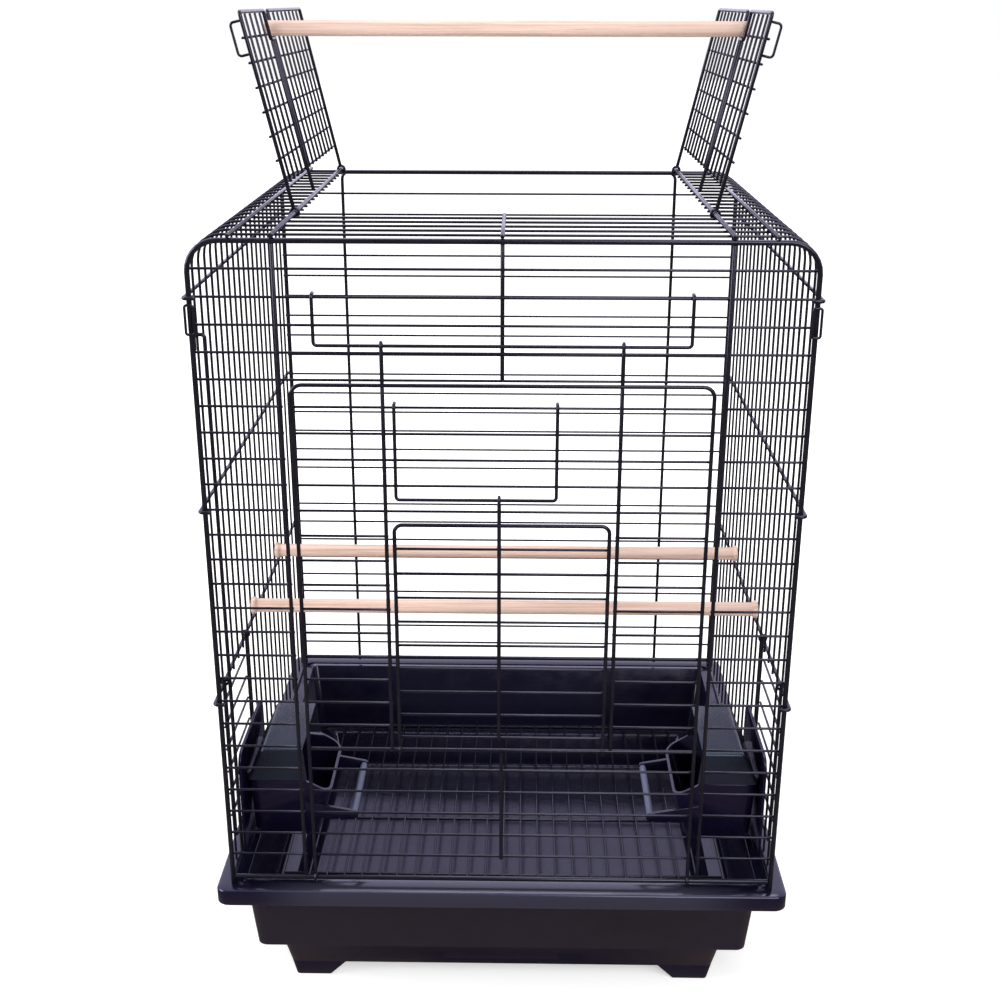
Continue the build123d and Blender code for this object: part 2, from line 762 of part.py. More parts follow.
nodes["front_frame"] = panel_frame(-body_half_depth)
nodes["back_frame"] = panel_frame(body_half_depth)
nodes["bottom_rails"] = make_bottom_rails()
make_front_rows()
nodes["front_posts"] = make_front_posts()
nodes["back_rows"] = make_back_rows()
nodes["back_hoops"] = make_back_hoops()
make_side_wires()
nodes["roof_hoops"] = make_roof_hoops()
nodes["right_side_supports"] = make_side_supports()
nodes["right_corner_clip"] = make_corner_clip()
nodes["left_side_post"] = make_left_side_post()
nodes["roof_edge_wires"] = make_roof_edges()
nodes["roof_depth_wires"] = make_roof_depth_wires()
nodes["rear_perch"] = make_perch(*rear_perch)
nodes["middle_perch"] = make_perch(*middle_perch)

make_large_door()
nodes["large_door_latch"] = u_latch(-latch_half_width, latch_half_width, latch_bar_height, latch_row)
make_small_door()
nodes["small_door_latch"] = u_latch(small_latch_left, small_latch_right, small_latch_bar_height,
                                    door_first_row)

make_left_flap()
nodes["play_perch"] = make_play_perch()

nodes["right_feeder_cup"] = make_right_feeder_cup()
nodes["right_feeder_hood"] = make_right_feeder_hood()
nodes["right_feeder_perch"] = make_right_feeder_perch()
make_right_feeder_door()

for name in list(nodes):
    if name.startswith("left_flap"):
        nodes[name.replace("left", "right")] = mirrored(nodes[name])
    if name.startswith("right_feeder") or name in ("right_side_supports", "right_corner_clip"):
        nodes[name.replace("right", "left")] = mirrored(nodes[name])

os.makedirs("parts", exist_ok=True)
for name, shape in nodes.items():
    export_step(shape, f"parts/{name}.step")
print(len(nodes), "nodes")
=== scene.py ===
"""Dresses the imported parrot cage: round coated wires, moulded base, wooden perches and feeders."""

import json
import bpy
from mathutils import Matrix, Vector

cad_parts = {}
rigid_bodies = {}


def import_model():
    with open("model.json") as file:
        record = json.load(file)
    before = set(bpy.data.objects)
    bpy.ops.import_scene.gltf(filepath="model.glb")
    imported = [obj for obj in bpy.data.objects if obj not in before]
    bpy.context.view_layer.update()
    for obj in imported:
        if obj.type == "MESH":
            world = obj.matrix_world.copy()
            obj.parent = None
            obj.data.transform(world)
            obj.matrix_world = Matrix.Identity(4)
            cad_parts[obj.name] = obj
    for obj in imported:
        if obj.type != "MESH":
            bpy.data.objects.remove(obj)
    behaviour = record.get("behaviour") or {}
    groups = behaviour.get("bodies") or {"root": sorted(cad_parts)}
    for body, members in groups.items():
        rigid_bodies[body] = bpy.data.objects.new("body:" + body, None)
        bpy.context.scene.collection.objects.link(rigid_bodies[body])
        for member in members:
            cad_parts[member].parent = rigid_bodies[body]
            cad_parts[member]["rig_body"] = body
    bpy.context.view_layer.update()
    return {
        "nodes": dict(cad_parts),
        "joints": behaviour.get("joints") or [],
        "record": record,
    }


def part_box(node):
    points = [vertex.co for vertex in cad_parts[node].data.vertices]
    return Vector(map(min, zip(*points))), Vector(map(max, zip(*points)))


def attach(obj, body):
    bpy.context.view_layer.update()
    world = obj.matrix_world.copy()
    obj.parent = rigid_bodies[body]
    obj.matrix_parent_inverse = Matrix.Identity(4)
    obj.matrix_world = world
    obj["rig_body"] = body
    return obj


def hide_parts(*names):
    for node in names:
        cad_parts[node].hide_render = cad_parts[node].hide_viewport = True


bl_info = {
    "name": "Parrot Cage",
    "version": (1, 0, 0),
    "blender": (4, 5, 0),
    "location": "View3D > Sidebar > Parrot Cage",
    "description": "Round coated wires, a moulded base, wooden perches and feeders for a wire parrot cage",
    "category": "Add Mesh",
}

from math import ceil, cos, pi, radians, sin, tan

import bmesh
import bpy
from bmesh.types import BMEdge, BMVert
from bpy.props import FloatProperty, FloatVectorProperty, IntProperty, PointerProperty
from bpy.types import Operator, PropertyGroup
from mathutils import Matrix, Vector

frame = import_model()
slots = {part["node"]: part["material_slot"] for part in frame["record"]["subparts"]}
hinges = {joint["name"]: Vector(joint.get("pos_m", (0, 0, 0))) for joint in frame["joints"]}

SIDES = (("left", -1), ("right", 1))

# Points nearer than MERGE are one, and a turn under FLAT_TURN is none.
MERGE = 2e-6
FLAT_TURN = 1e-4
# What keeps a moulding's neighbouring rings off one plane, so that they bridge without a twist
TILT = 1e-4
# From which angle an edge is rounded, from which height of its normal a face looks down, and from
# which angle an edge is shaded sharp on a wire and on a moulding
FOLD = radians(40.0)
FACING_DOWN = -0.9
SHARP_WIRE = radians(38.0)
SHARP_MOULD = radians(50.0)
# A rounded corner's middle ring, as a share of the corner's radius; the rim's is drawn fuller.
MIDDLE = 0.3
LIP_MIDDLE = 0.2
LIP_REACH = 0.7
# The rounding of a hard edge as a share of the wall, and of a cut wire as a share of one of its sides
EDGE_SHARE = 0.3
CUT_SHARE = 0.6

# Segments of a wire's right-angled bend, a hinge eye, a dowel's outline and a hood's rounded edge
BEND_STEPS = 6
EYE_STEPS = 20
DOWEL_SIDES = 28
HOOD_STEPS = 5
# Where a six-sided wire's flat lies, as a share of its corner's reach
SIX_SIDED = cos(pi / 6)
CLIP_BEND = 0.0016
POST_HOOK = 0.012
FEEDER_DOOR_BEND = 0.004

# The painted highlight on the front rim, in shares of the rim's half width and half depth, and its lower
# edge
HIGHLIGHT_FULL, HIGHLIGHT_GONE = 0.62, 0.90
HIGHLIGHT_OUTER, HIGHLIGHT_INNER = 0.945, 0.930
HIGHLIGHT_FADE = 0.001

# Each softbox's name, place, size and power, and the point that all of them face
SOFTBOXES = (
    ("left", (-2.2, -0.6, 1.25), 1.3, 42.0),
    ("front", (0.9, -2.0, 1.7), 1.5, 34.0),
    ("top", (0.1, 0.8, 2.3), 1.4, 22.0),
)
LIT_POINT = Vector((0.0, 0.0, 0.35))
# Between which headings gloss turns from its front level to its back one, and what height adds
GLOSS_TURN = (-0.2, 0.4)
GLOSS_HEIGHT = 0.5
FLOOR_TONE = (0.86, 0.86, 0.86, 1.0)
SENSOR = 36.0
NEAR_CLIP, FAR_CLIP = 0.05, 100.0


def length(name, default, description, low=0.0):
    return FloatProperty(name=name, default=default, min=low, unit="LENGTH", precision=5,
                         description=description)


def angle(name, default, description):
    return FloatProperty(name=name, default=default, subtype="ANGLE", description=description)


def number(name, default, description):
    return FloatProperty(name=name, default=default, description=description)


def steps(name, default, description):
    return IntProperty(name=name, default=default, min=3, max=32, description=description)


def colour(name, default, description):
    return FloatVectorProperty(name=name, default=default, size=3, min=0.0, max=1.0, subtype="COLOR",
                               description=description)


class CageWireSizes(PropertyGroup):
    """Diameters and bends of the wires."""

    rail: length("Rail", 0.004, "Outer wires and bottom rails")
    bar: length("Bar", 0.003, "Posts, frames and supports")
    edge: length("Roof Edge", 0.0036, "Wires that the flaps hinge on")
    row: length("Row", 0.002, "Thin wires")
    latch: length("Latch", 0.0026, "U-shaped latches")
    eye: length("Eye", 0.0024, "Wire of a hinge eye")
    play: length("Hinge Play", 0.0002, "Space between an eye and its bar")
    corner_bend: length("Corner Bend", 0.022, "Shoulders")
    hoop_bend: length("Hoop Bend", 0.007, "Back hoops")
    door_bend: length("Door Bend", 0.008, "Large door")
    small_door_bend: length("Small Door Bend", 0.006, "Small door")
    tight_bend: length("Tight Bend", 0.0026, "Hooks, latches and flaps")
    sides: steps("Sides", 12, "Sides of a wire's outline")


class CageFlapSizes(PropertyGroup):
    """The open roof flaps."""

    lean: angle("Lean", radians(13.0), "How far a flap leans out")
    height: length("Height", 0.148, "From hinge to top bar")
    cradle_y: length("Cradle Place", 0.012, "Where the perch's cradle stands", low=-1.0)
    cradle_half: length("Cradle Half Width", 0.0085, "Half the cradle's width")
    cradle_depth: length("Cradle Depth", 0.022, "The cradle's depth")
    pull_reach: length("Pull Reach", 0.009, "How far the finger loop stands out")
    pull_drop: length("Pull Drop", 0.006, "From the top bar to the loop")
    pull_length: length("Pull Length", 0.024, "Height of the loop")


class CageBaseSizes(PropertyGroup):
    """The moulded base."""

    rim_corner: length("Rim Corner", 0.010, "Radius of the rim's corners")
    tub_corner: length("Tub Corner", 0.008, "Radius of the tub's corners")
    step_corner: length("Step Corner", 0.007, "Radius of the lower step's corners")
    wall: length("Wall", 0.003, "Wall thickness")
    tub_taper: length("Tub Taper", 0.006, "How far the tub draws in downwards")
    fillet: length("Fillet", 0.003, "Radius of moulded edges")
    foot_inset: length("Foot Inset", 0.004, "How far a foot draws in downwards")
    foot_length: length("Foot Length", 0.034, "A foot's length along the front")
    foot_depth: length("Foot Depth", 0.030, "A foot's length along the side")
    foot_chamfer: length("Foot Chamfer", 0.014, "Slant of a foot's inner face")
    foot_round: length("Foot Round", 0.0009, "Rounding of a foot's edges")
    recess_half: length("Recess Half Length", 0.070, "Half the front recess's length")
    recess_rise: length("Recess Height", 0.007, "Height of the recess")
    notch_length: length("Notch Length", 0.020, "Length of the notch at each end of it")
    notch_rise: length("Notch Height", 0.014, "Height of the notches")
    grille_bend: length("Grille Bend", 0.008, "Bend of the floor grille's ring")
    corner_steps: steps("Corner Steps", 8, "Facets of a corner")


class CageFeederSizes(PropertyGroup):
    """The feeders."""

    wall: length("Wall", 0.0024, "Thickness of bowl, hood and plate")
    corner: length("Corner", 0.011, "Radius of the bowl's corners")
    taper: length("Taper", 0.004, "How far the bowl's ends draw in downwards")
    wall_taper: length("Wall Side Taper", 0.002, "How far its outer side draws in")
    mouth: length("Mouth", 0.073, "The bowl's width at its mouth")
    foot: length("Foot", 0.057, "The bowl's width at its foot")
    depth: length("Depth", 0.056, "The bowl's height")
    scoop: length("Scoop", 0.026, "Length of the rim's dip")
    scoop_drop: length("Scoop Drop", 0.015, "Depth of the rim's dip")
    lip_round: length("Lip Round", 0.0006, "Rounding of the bowl's rim")
    soft: length("Soft Edge", 0.002, "Radius of the bowl's floor edges")
    hood_knee_in: length("Hood Knee In", 0.010, "From the hood's foot in to its knee")
    hood_knee_drop: length("Hood Knee Drop", 0.008, "From the hood's top down to its knee")
    hood_crown_in: length("Hood Crown In", 0.013, "From the hood's foot in to its crown")
    hood_lean: length("Hood Lean", 0.003, "Lean of the hood's front edge")
    hood_round: length("Hood Round", 0.003, "Radius of the hood's edges")
    hood_gap: length("Hood Gap", 0.00005, "Space under the hood")
    rod: length("Perch Bar", 0.006, "Diameter of the perch bar")
    arm_tip: length("Arm Tip", 0.0038, "Radius of an arm's end")
    arm_reach: length("Arm Reach", 0.045, "Length of an arm")
    arm_rise: length("Arm Rise", 0.012, "Height of an arm's root")
    arm_thickness: length("Arm Thickness", 0.003, "Thickness of an arm")
    arm_round: length("Arm Round", 0.0005, "Rounding of arms, plate and ledge")
    plate_margin: length("Plate Margin", 0.010, "How far the plate stands out beside the bowl")
    plate_corner: length("Plate Corner", 0.012, "Radius of the plate's corners")
    plate_back: length("Plate Back", 0.0047, "From the bowl to the plate's outer face")
    ledge: length("Ledge", 0.004, "Height of the ledge behind the bowl")
    ledge_inset: length("Ledge Inset", 0.012, "How far the ledge stops short")
    hook_half: length("Hook Half Length", 0.030, "Half the hook's length")
    hook_reach: length("Hook Reach", 0.006, "Width of the hook")
    hook_height: length("Hook Height", 0.003, "Height of the hook")
    hook_shift: length("Hook Shift", -0.007, "From the bowl's middle to the hook's", low=-1.0)


class CagePerchSizes(PropertyGroup):
    """The wooden perches."""

    diameter: length("Diameter", 0.012, "Diameter of a perch")
    collar: length("Collar Length", 0.004, "Length of an end collar")
    collar_step: length("Collar Step", 0.0015, "How far a collar stands out")


class CageColours(PropertyGroup):
    """The finishes' main colours, a painted highlight for the base's rim, and the tints of gloss."""

    wire: colour("Wire", (0.006, 0.006, 0.010), "Powder coat")
    plastic: colour("Base", (0.004, 0.0035, 0.012), "Moulded base")
    bowl: colour("Bowl", (0.004, 0.003, 0.012), "Feeder bowls")
    smoked: colour("Hood", (0.009, 0.010, 0.018), "Feeder hoods")
    grey: colour("Perch Bar", (0.055, 0.062, 0.100), "Feeder perch bars")
    wood: colour("Wood", (0.84, 0.61, 0.52), "Perches")
    grain: colour("Grain", (0.54, 0.34, 0.26), "Grain of the perches")
    sheen: colour("Sheen", (0.80, 0.78, 1.0), "What wires, base and bowls reflect")
    hood_sheen: colour("Hood Sheen", (0.58, 0.80, 0.92), "What the hoods reflect")
    # Painted highlight: a lighter colour laid on the middle of the front rim, where it catches light
    haze_and_highlight: colour("Rim Highlight", (0.029, 0.028, 0.047), "Painted highlight on the front rim")
    gloss_front: colour("Floor In Gloss", (1.0, 0.76, 0.68), "The floor, as gloss shows it")
    gloss_back: colour("World In Gloss", (0.78, 0.75, 1.0), "The world, as gloss shows it")


class CageStageSizes(PropertyGroup):
    """The camera, floor and lights."""

    eye: FloatVectorProperty(name="Camera", default=(0.0133, -1.1470, 0.8070), size=3, subtype="TRANSLATION",
                             description="Where the camera stands")
    pitch: angle("Pitch", 0.3508, "How far it looks down")
    yaw: angle("Yaw", -0.0155, "How far it turns sideways")
    roll: angle("Roll", 0.0019, "How far it is tilted")
    lens: number("Lens", 49.296, "Focal length in mm")
    floor_half: length("Floor", 14.0, "Half the floor's width")
    ambient: number("Ambient", 0.45, "The world's light")
    gloss_front: number("Gloss In Front", 0.20, "The floor, and the world in front, in gloss")
    gloss_back: number("Gloss Behind", 1.66, "The world behind and above, in gloss")
    floor_lift: number("Floor Lift", 0.50, "White added to the floor near the cage")
    lift_from: length("Lift From", 0.45, "Where the floor starts to turn white")
    lift_to: length("Lift To", 1.30, "Where the floor is white")


class CageSettings(PropertyGroup):
    """All of the cage's settings."""

    wires: PointerProperty(type=CageWireSizes)
    flaps: PointerProperty(type=CageFlapSizes)
    base: PointerProperty(type=CageBaseSizes)
    feeders: PointerProperty(type=CageFeederSizes)
    perches: PointerProperty(type=CagePerchSizes)
    colours: PointerProperty(type=CageColours)
    stage: PointerProperty(type=CageStageSizes)


def settings():
    return bpy.context.scene.parrot_cage


class Nodes:
    """A node tree in the making."""

    def __init__(self, tree):
        self.tree = tree

    def add(self, kind, **values):
        node = self.tree.nodes.new(kind)
        for key, value in values.items():
            setattr(node, key, value)
        return node

    def join(self, source, target):
        self.tree.links.new(source, target)

    def feed(self, node, *values):
        """Sets a node's first inputs, each to a number or from a socket."""
        for target, value in zip(node.inputs, values):
            if isinstance(value, bpy.types.NodeSocket):
                self.join(value, target)
            else:
                target.default_value = value
        return node.outputs[0]

    def sum(self, operation, *values):
        return self.feed(self.add("ShaderNodeMath", operation=operation), *values)

    def rise(self, value, from_low, from_high, to_low, to_high):
        """A value carried smoothly from one range to another."""
        node = self.add("ShaderNodeMapRange", interpolation_type="SMOOTHSTEP")
        return self.feed(node, value, from_low, from_high, to_low, to_high)

    def mix(self, factor, first, second):
        """Two colours mixed by a factor from a socket."""
        node = self.add("ShaderNodeMix", data_type="RGBA")
        sockets = {s.identifier: s for s in node.inputs}
        self.join(factor, sockets["Factor_Float"])
        for key, value in (("A_Color", first), ("B_Color", second)):
            if isinstance(value, bpy.types.NodeSocket):
                self.join(value, sockets[key])
            else:
                sockets[key].default_value = (*value, 1.0)
        return next(s for s in node.outputs if s.identifier == "Result_Color")


class Finish(Nodes):
    """A procedural material in the making: its shader, its node tree and its Object coordinates."""

    def __init__(self, name):
        self.material = bpy.data.materials.new(name)
        self.material.use_nodes = True
        super().__init__(self.material.node_tree)
        self.shader = self.tree.nodes["Principled BSDF"]
        self.place = self.add("ShaderNodeTexCoord").outputs["Object"]

    def noise(self, scale, detail=2.0, stretch=(1.0, 1.0, 1.0)):
        """A noise factor on Object coordinates, with one scale for each axis."""
        mapping = self.add("ShaderNodeMapping")
        mapping.inputs["Scale"].default_value = [scale * s for s in stretch]
        texture = self.add("ShaderNodeTexNoise")
        texture.inputs["Scale"].default_value = 1.0
        texture.inputs["Detail"].default_value = detail
        self.join(self.place, mapping.inputs["Vector"])
        self.join(mapping.outputs["Vector"], texture.inputs["Vector"])
        return texture.outputs["Fac"]

    def ramp(self, factor, *stops):
        """A colour for a factor, through two stops of (place, colour or grey)."""
        node = self.add("ShaderNodeValToRGB")
        for element, (place, tone) in zip(node.color_ramp.elements, stops):
            element.position = place
            element.color = (*tone, 1.0) if hasattr(tone, "__len__") else (tone, tone, tone, 1.0)
        self.join(factor, node.inputs["Fac"])
        return node.outputs["Color"]

    def bump(self, height, depth, before=None):
        """Relief of the given depth in metres, laid over an earlier relief."""
        node = self.add("ShaderNodeBump")
        node.inputs["Strength"].default_value = 1.0
        node.inputs["Distance"].default_value = depth
        self.join(height, node.inputs["Height"])
        if before is not None:
            self.join(before, node.inputs["Normal"])
        return node.outputs["Normal"]

    def wear(self):
        """A factor that is high along outer edges."""
        pointed = self.add("ShaderNodeNewGeometry").outputs["Pointiness"]
        return self.ramp(pointed, (0.52, 0.0), (0.60, 1.0))

    def finish(self, base_colour, roughness, normal, specular=0.5, sheen=None, **constants):
        """Joins the shader up, and sets its constants on their own sockets."""
        self.join(base_colour, self.shader.inputs["Base Color"])
        self.join(roughness, self.shader.inputs["Roughness"])
        self.join(normal, self.shader.inputs["Normal"])
        self.shader.inputs["Specular IOR Level"].default_value = specular
        if sheen is not None:
            self.shader.inputs["Specular Tint"].default_value = (*sheen, 1.0)
        for key, value in constants.items():
            self.shader.inputs[key.replace("_", " ")].default_value = value
        return self.material


def shade(tone, factor):
    """A colour made darker or lighter."""
    return tuple(min(1.0, channel * factor) for channel in tone)


def powder_coat():
    """Satin black powder coat: orange-peel skin, thicker and thinner places."""
    colours = settings().colours
    made = Finish("black_powder_coat")
    cover = made.noise(38.0, 3.0)
    skin = made.noise(1500.0)
    base = made.ramp(cover, (0.3, shade(colours.wire, 0.8)), (0.7, shade(colours.wire, 1.5)))
    rough = made.ramp(made.noise(210.0, 3.0), (0.3, 0.14), (0.7, 0.26))
    return made.finish(base, rough, made.bump(skin, 0.00002), sheen=colours.sheen)


def moulded(name, tone, rough_low, rough_high, grain_depth, painted_highlight=None):
    """Injection-moulded plastic: flow marks, fine scuffs, lighter worn edges, and a painted highlight where
    a mask is given.
    """
    colours = settings().colours
    made = Finish(name)
    marks = made.noise(9.0, 4.0, (1.0, 1.0, 2.2))
    flow = made.ramp(marks, (0.3, shade(tone, 0.82)), (0.7, shade(tone, 1.28)))
    wear_and_highlight = made.mix(made.wear(), flow, shade(tone, 2.1))
    if painted_highlight is not None:
        # Painted highlight: the mask lays a lighter colour on the middle of the front rim
        wear_and_highlight = made.mix(painted_highlight(made), wear_and_highlight, colours.haze_and_highlight)
    scuffs = made.noise(60.0, 6.0, (1.0, 6.0, 1.0))
    rough = made.ramp(scuffs, (0.35, rough_low), (0.68, rough_high))
    skin = made.bump(made.noise(2600.0), grain_depth)
    sink = made.bump(made.noise(14.0, 1.0), grain_depth * 4.0, skin)
    return made.finish(wear_and_highlight, rough, sink, sheen=colours.sheen)


def rim_highlight_mask(made):
    """A factor that is one at the middle of the base's front rim, where a painted highlight lightens it."""
    low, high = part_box("base_rim")
    x, y, z = made.feed(made.add("ShaderNodeSeparateXYZ"), made.place).node.outputs
    middle = made.rise(made.sum("ABSOLUTE", x), high.x * HIGHLIGHT_FULL, high.x * HIGHLIGHT_GONE, 1.0, 0.0)
    front = made.rise(y, low.y * HIGHLIGHT_OUTER, low.y * HIGHLIGHT_INNER, 1.0, 0.0)
    above = made.rise(z, low.z - HIGHLIGHT_FADE, low.z, 0.0, 1.0)
    return made.sum("MULTIPLY", made.sum("MULTIPLY", middle, front), above)


def base_plastic():
    # The base's front rim gets a painted highlight in its colour
    return moulded("black_base_plastic", settings().colours.plastic, 0.10, 0.20, 0.000008, rim_highlight_mask)


def bowl_plastic():
    return moulded("black_bowl_plastic", settings().colours.bowl, 0.12, 0.22, 0.000008)


def bar_plastic():
    return moulded("grey_bar_plastic", settings().colours.grey, 0.48, 0.62, 0.00002)


def smoked_plastic():
    """Smoked hood plastic: a little light passes, with moulding haze near the walls."""
    colours = settings().colours
    tone = colours.smoked
    made = Finish("smoked_hood_plastic")
    haze_and_highlight = made.ramp(made.noise(26.0, 3.0), (0.3, shade(tone, 0.85)), (0.72, shade(tone, 1.25)))
    wear_and_highlight = made.mix(made.wear(), haze_and_highlight, shade(tone, 1.9))
    rough = made.ramp(made.noise(70.0, 5.0), (0.3, 0.16), (0.7, 0.28))
    skin = made.bump(made.noise(2200.0), 0.000012)
    return made.finish(wear_and_highlight, rough, skin, sheen=colours.hood_sheen, Transmission_Weight=0.12, IOR=1.49)


def perch_wood():
    """Sanded pale dowel: growth grain along its length, pores, and a little uneven stain."""
    wood, grain = settings().colours.wood, settings().colours.grain
    made = Finish("sanded_perch_wood")
    patches = made.noise(7.0, 3.0, (1.0, 3.0, 3.0))
    stain = made.ramp(patches, (0.3, shade(wood, 0.9)), (0.7, shade(wood, 1.08)))
    growth = made.noise(90.0, 4.0, (0.07, 5.0, 5.0))
    bands = made.mix(made.ramp(growth, (0.46, 0.0), (0.66, 0.75)), stain, grain)
    pores = made.noise(700.0, 3.0, (0.035, 2.0, 2.0))
    dark_pores = made.ramp(pores, (0.60, 0.0), (0.74, 0.55))
    base = made.mix(dark_pores, bands, shade(grain, 0.55))
    rough = made.ramp(growth, (0.3, 0.5), (0.7, 0.68))
    fibre = made.bump(pores, 0.00008)
    return made.finish(base, rough, made.bump(growth, 0.00006, fibre), specular=0.35)


FINISHES = {
    "black_wire": powder_coat,
    "black_plastic": base_plastic,
    "bowl_plastic": bowl_plastic,
    "smoked_plastic": smoked_plastic,
    "grey_plastic": bar_plastic,
    "wood": perch_wood,
}
made_finishes = {}


def finish_for(slot):
    """The slot's material, made when it is first asked for."""
    if slot not in made_finishes:
        made_finishes[slot] = FINISHES[slot]()
    return made_finishes[slot]


def mesh_from(bm, name):
    """A mesh made from a bmesh, which is given up."""
    mesh = bpy.data.meshes.new(name)
    bm.to_mesh(mesh)
    bm.free()
    return mesh


def add_object(name, data):
    """An object that shows some data, linked into the scene."""
    made = bpy.data.objects.new(name, data)
    bpy.context.scene.collection.objects.link(made)
    return made


def publish(bm, name, *nodes, sharp=SHARP_WIRE):
    """Turns a finished bmesh into a piece that stands for CAD nodes and rides on their body."""
    bmesh.ops.remove_doubles(bm, verts=bm.verts, dist=MERGE)
    holes = bmesh.ops.holes_fill(bm, edges=[e for e in bm.edges if e.is_boundary], sides=0)["faces"]
    bmesh.ops.recalc_face_normals(bm, faces=bm.faces)
    rims = list(dict.fromkeys(edge for face in holes for edge in face.edges))
    if rims:
        round_off(bm, rims, min(e.calc_length() for e in rims) * CUT_SHARE)
    for face in bm.faces:
        face.smooth = True
    for edge in bm.edges:
        edge.smooth = edge.calc_face_angle(0.0) < sharp
    slot = slots[nodes[0]]
    piece = add_object(name, mesh_from(bm, name))
    piece.data.materials.append(finish_for(slot))
    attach(piece, frame["nodes"][nodes[0]]["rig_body"])
    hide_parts(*nodes)


def of_kind(kind, geom):
    """The verts, edges or faces among what a bmesh operator gives back."""
    return [part for part in geom if isinstance(part, kind)]


def round_off(bm, edges, offset, segments=2):
    """Rounds some edges."""
    bmesh.ops.bevel(bm, geom=edges, offset=offset, segments=segments, profile=0.5, affect="EDGES",
                    material=-1)


def loose_parts(node):
    """The separate solids of a CAD node, each as its corner points, in the mesh's order."""
    bm = bmesh.new()
    bm.from_mesh(frame["nodes"][node].data)
    bmesh.ops.remove_doubles(bm, verts=bm.verts, dist=MERGE)
    seen = set()
    parts = []
    for first in bm.verts:
        if first in seen:
            continue
        seen.add(first)
        reached = [first]
        for vert in reached:
            for edge in vert.link_edges:
                other = edge.other_vert(vert)
                if other not in seen:
                    seen.add(other)
                    reached.append(other)
        parts.append([vert.co.copy() for vert in reached])
    bm.free()
    return parts


def box_of(points):
    """The lowest and highest corners of some points."""
    return (Vector(min(p[i] for p in points) for i in range(3)),
            Vector(max(p[i] for p in points) for i in range(3)))


def bar_ends(points):
    """The middles of a straight bar's two ends."""
    far = max(points, key=lambda p: (p - points[0]).length)
    near = max(points, key=lambda p: (p - far).length)
    middle = (far + near) / 2
    ends = ([], [])
    for point in points:
        ends[(point - middle).dot(far - near) > 0].append(point)
    return [sum(end, Vector()) / len(end) for end in ends]


def wire_ring(bm, centre, heading, diameter, sides):
    """The edges of a wire's outline, square to its heading."""
    stand = Matrix.Translation(centre) @ heading.to_track_quat("Z", "Y").to_matrix().to_4x4()
    ring = bmesh.ops.create_circle(bm, segments=sides, radius=diameter / 2, matrix=stand)
    return list(dict.fromkeys(edge for vert in ring["verts"] for edge in vert.link_edges))


def draw_wire(bm, corners, diameter, bend=0.0, sides=None):
    """One wire through the corners: its outline extruded along each run and spun round each bend."""
    corners = [Vector(corner) for corner in corners]
    here = corners[0]
    edges = wire_ring(bm, here, (corners[1] - here).normalized(), diameter, sides or settings().wires.sides)
    for before, corner, after in zip(corners, corners[1:], corners[2:] + [None]):
        u = (corner - before).normalized()
        v = u if after is None else (after - corner).normalized()
        turn = u.angle(v)
        setback = bend * tan(turn / 2) if turn > FLAT_TURN else 0.0
        there = corner - u * setback
        if (there - here).length > MERGE:
            made = bmesh.ops.extrude_edge_only(bm, edges=edges)["geom"]
            verts = of_kind(BMVert, made)
            edges = [edge for edge in of_kind(BMEdge, made) if all(end in verts for end in edge.verts)]
            bmesh.ops.translate(bm, verts=verts, vec=there - here)
        here = there
        if turn > FLAT_TURN:
            inward = (v - u * cos(turn)).normalized()
            count = max(2, ceil(BEND_STEPS * turn / (pi / 2)))
            spun = bmesh.ops.spin(bm, geom=edges, cent=there + inward * bend, axis=u.cross(v), angle=turn,
                                  steps=count, use_merge=False, use_duplicate=False)["geom_last"]
            edges = of_kind(BMEdge, spun)
            here = corner + v * setback


def draw_eye(bm, centre, axis, bar_diameter):
    """A hinge eye: the wire's end curled once round its bar."""
    wires = settings().wires
    axis = Vector(axis)
    side = axis.orthogonal().normalized()
    reach = bar_diameter / 2 + wires.play + wires.eye / 2
    edges = wire_ring(bm, Vector(centre) + side * reach, axis.cross(side), wires.eye, wires.sides)
    bmesh.ops.spin(bm, geom=edges, cent=centre, axis=axis, angle=2 * pi, steps=EYE_STEPS, use_merge=True,
                   use_duplicate=False)


def wire_piece(name, node, runs, eyes=(), place=None):
    """A piece of wires (corners, diameter, bend) and of hinge eyes (centre, axis, bar's diameter)."""
    bm = bmesh.new()
    for run in runs:
        draw_wire(bm, *run)
    for eye in eyes:
        draw_eye(bm, *eye)
    if place is not None:
        bmesh.ops.transform(bm, matrix=place, verts=bm.verts)
    publish(bm, name, node)


def round_bars(name, node, diameter):
    """A node of straight bars, drawn again as round wires."""
    wire_piece(name, node, [(bar_ends(part), diameter) for part in loose_parts(node)])


def arch(low, high, radius):
    """The corners of an upside-down U that fills a box's width."""
    y = (low.y + high.y) / 2
    left, right, top = low.x + radius, high.x - radius, high.z - radius
    return [(left, y, low.z), (left, y, top), (right, y, top), (right, y, low.z)]


def round_arches(name, node, diameter, bend):
    """A node of upside-down U wires, drawn again with true bends."""
    arches = [arch(*box_of(part), diameter / 2) for part in loose_parts(node)]
    wire_piece(name, node, [(corners, diameter, bend) for corners in arches])


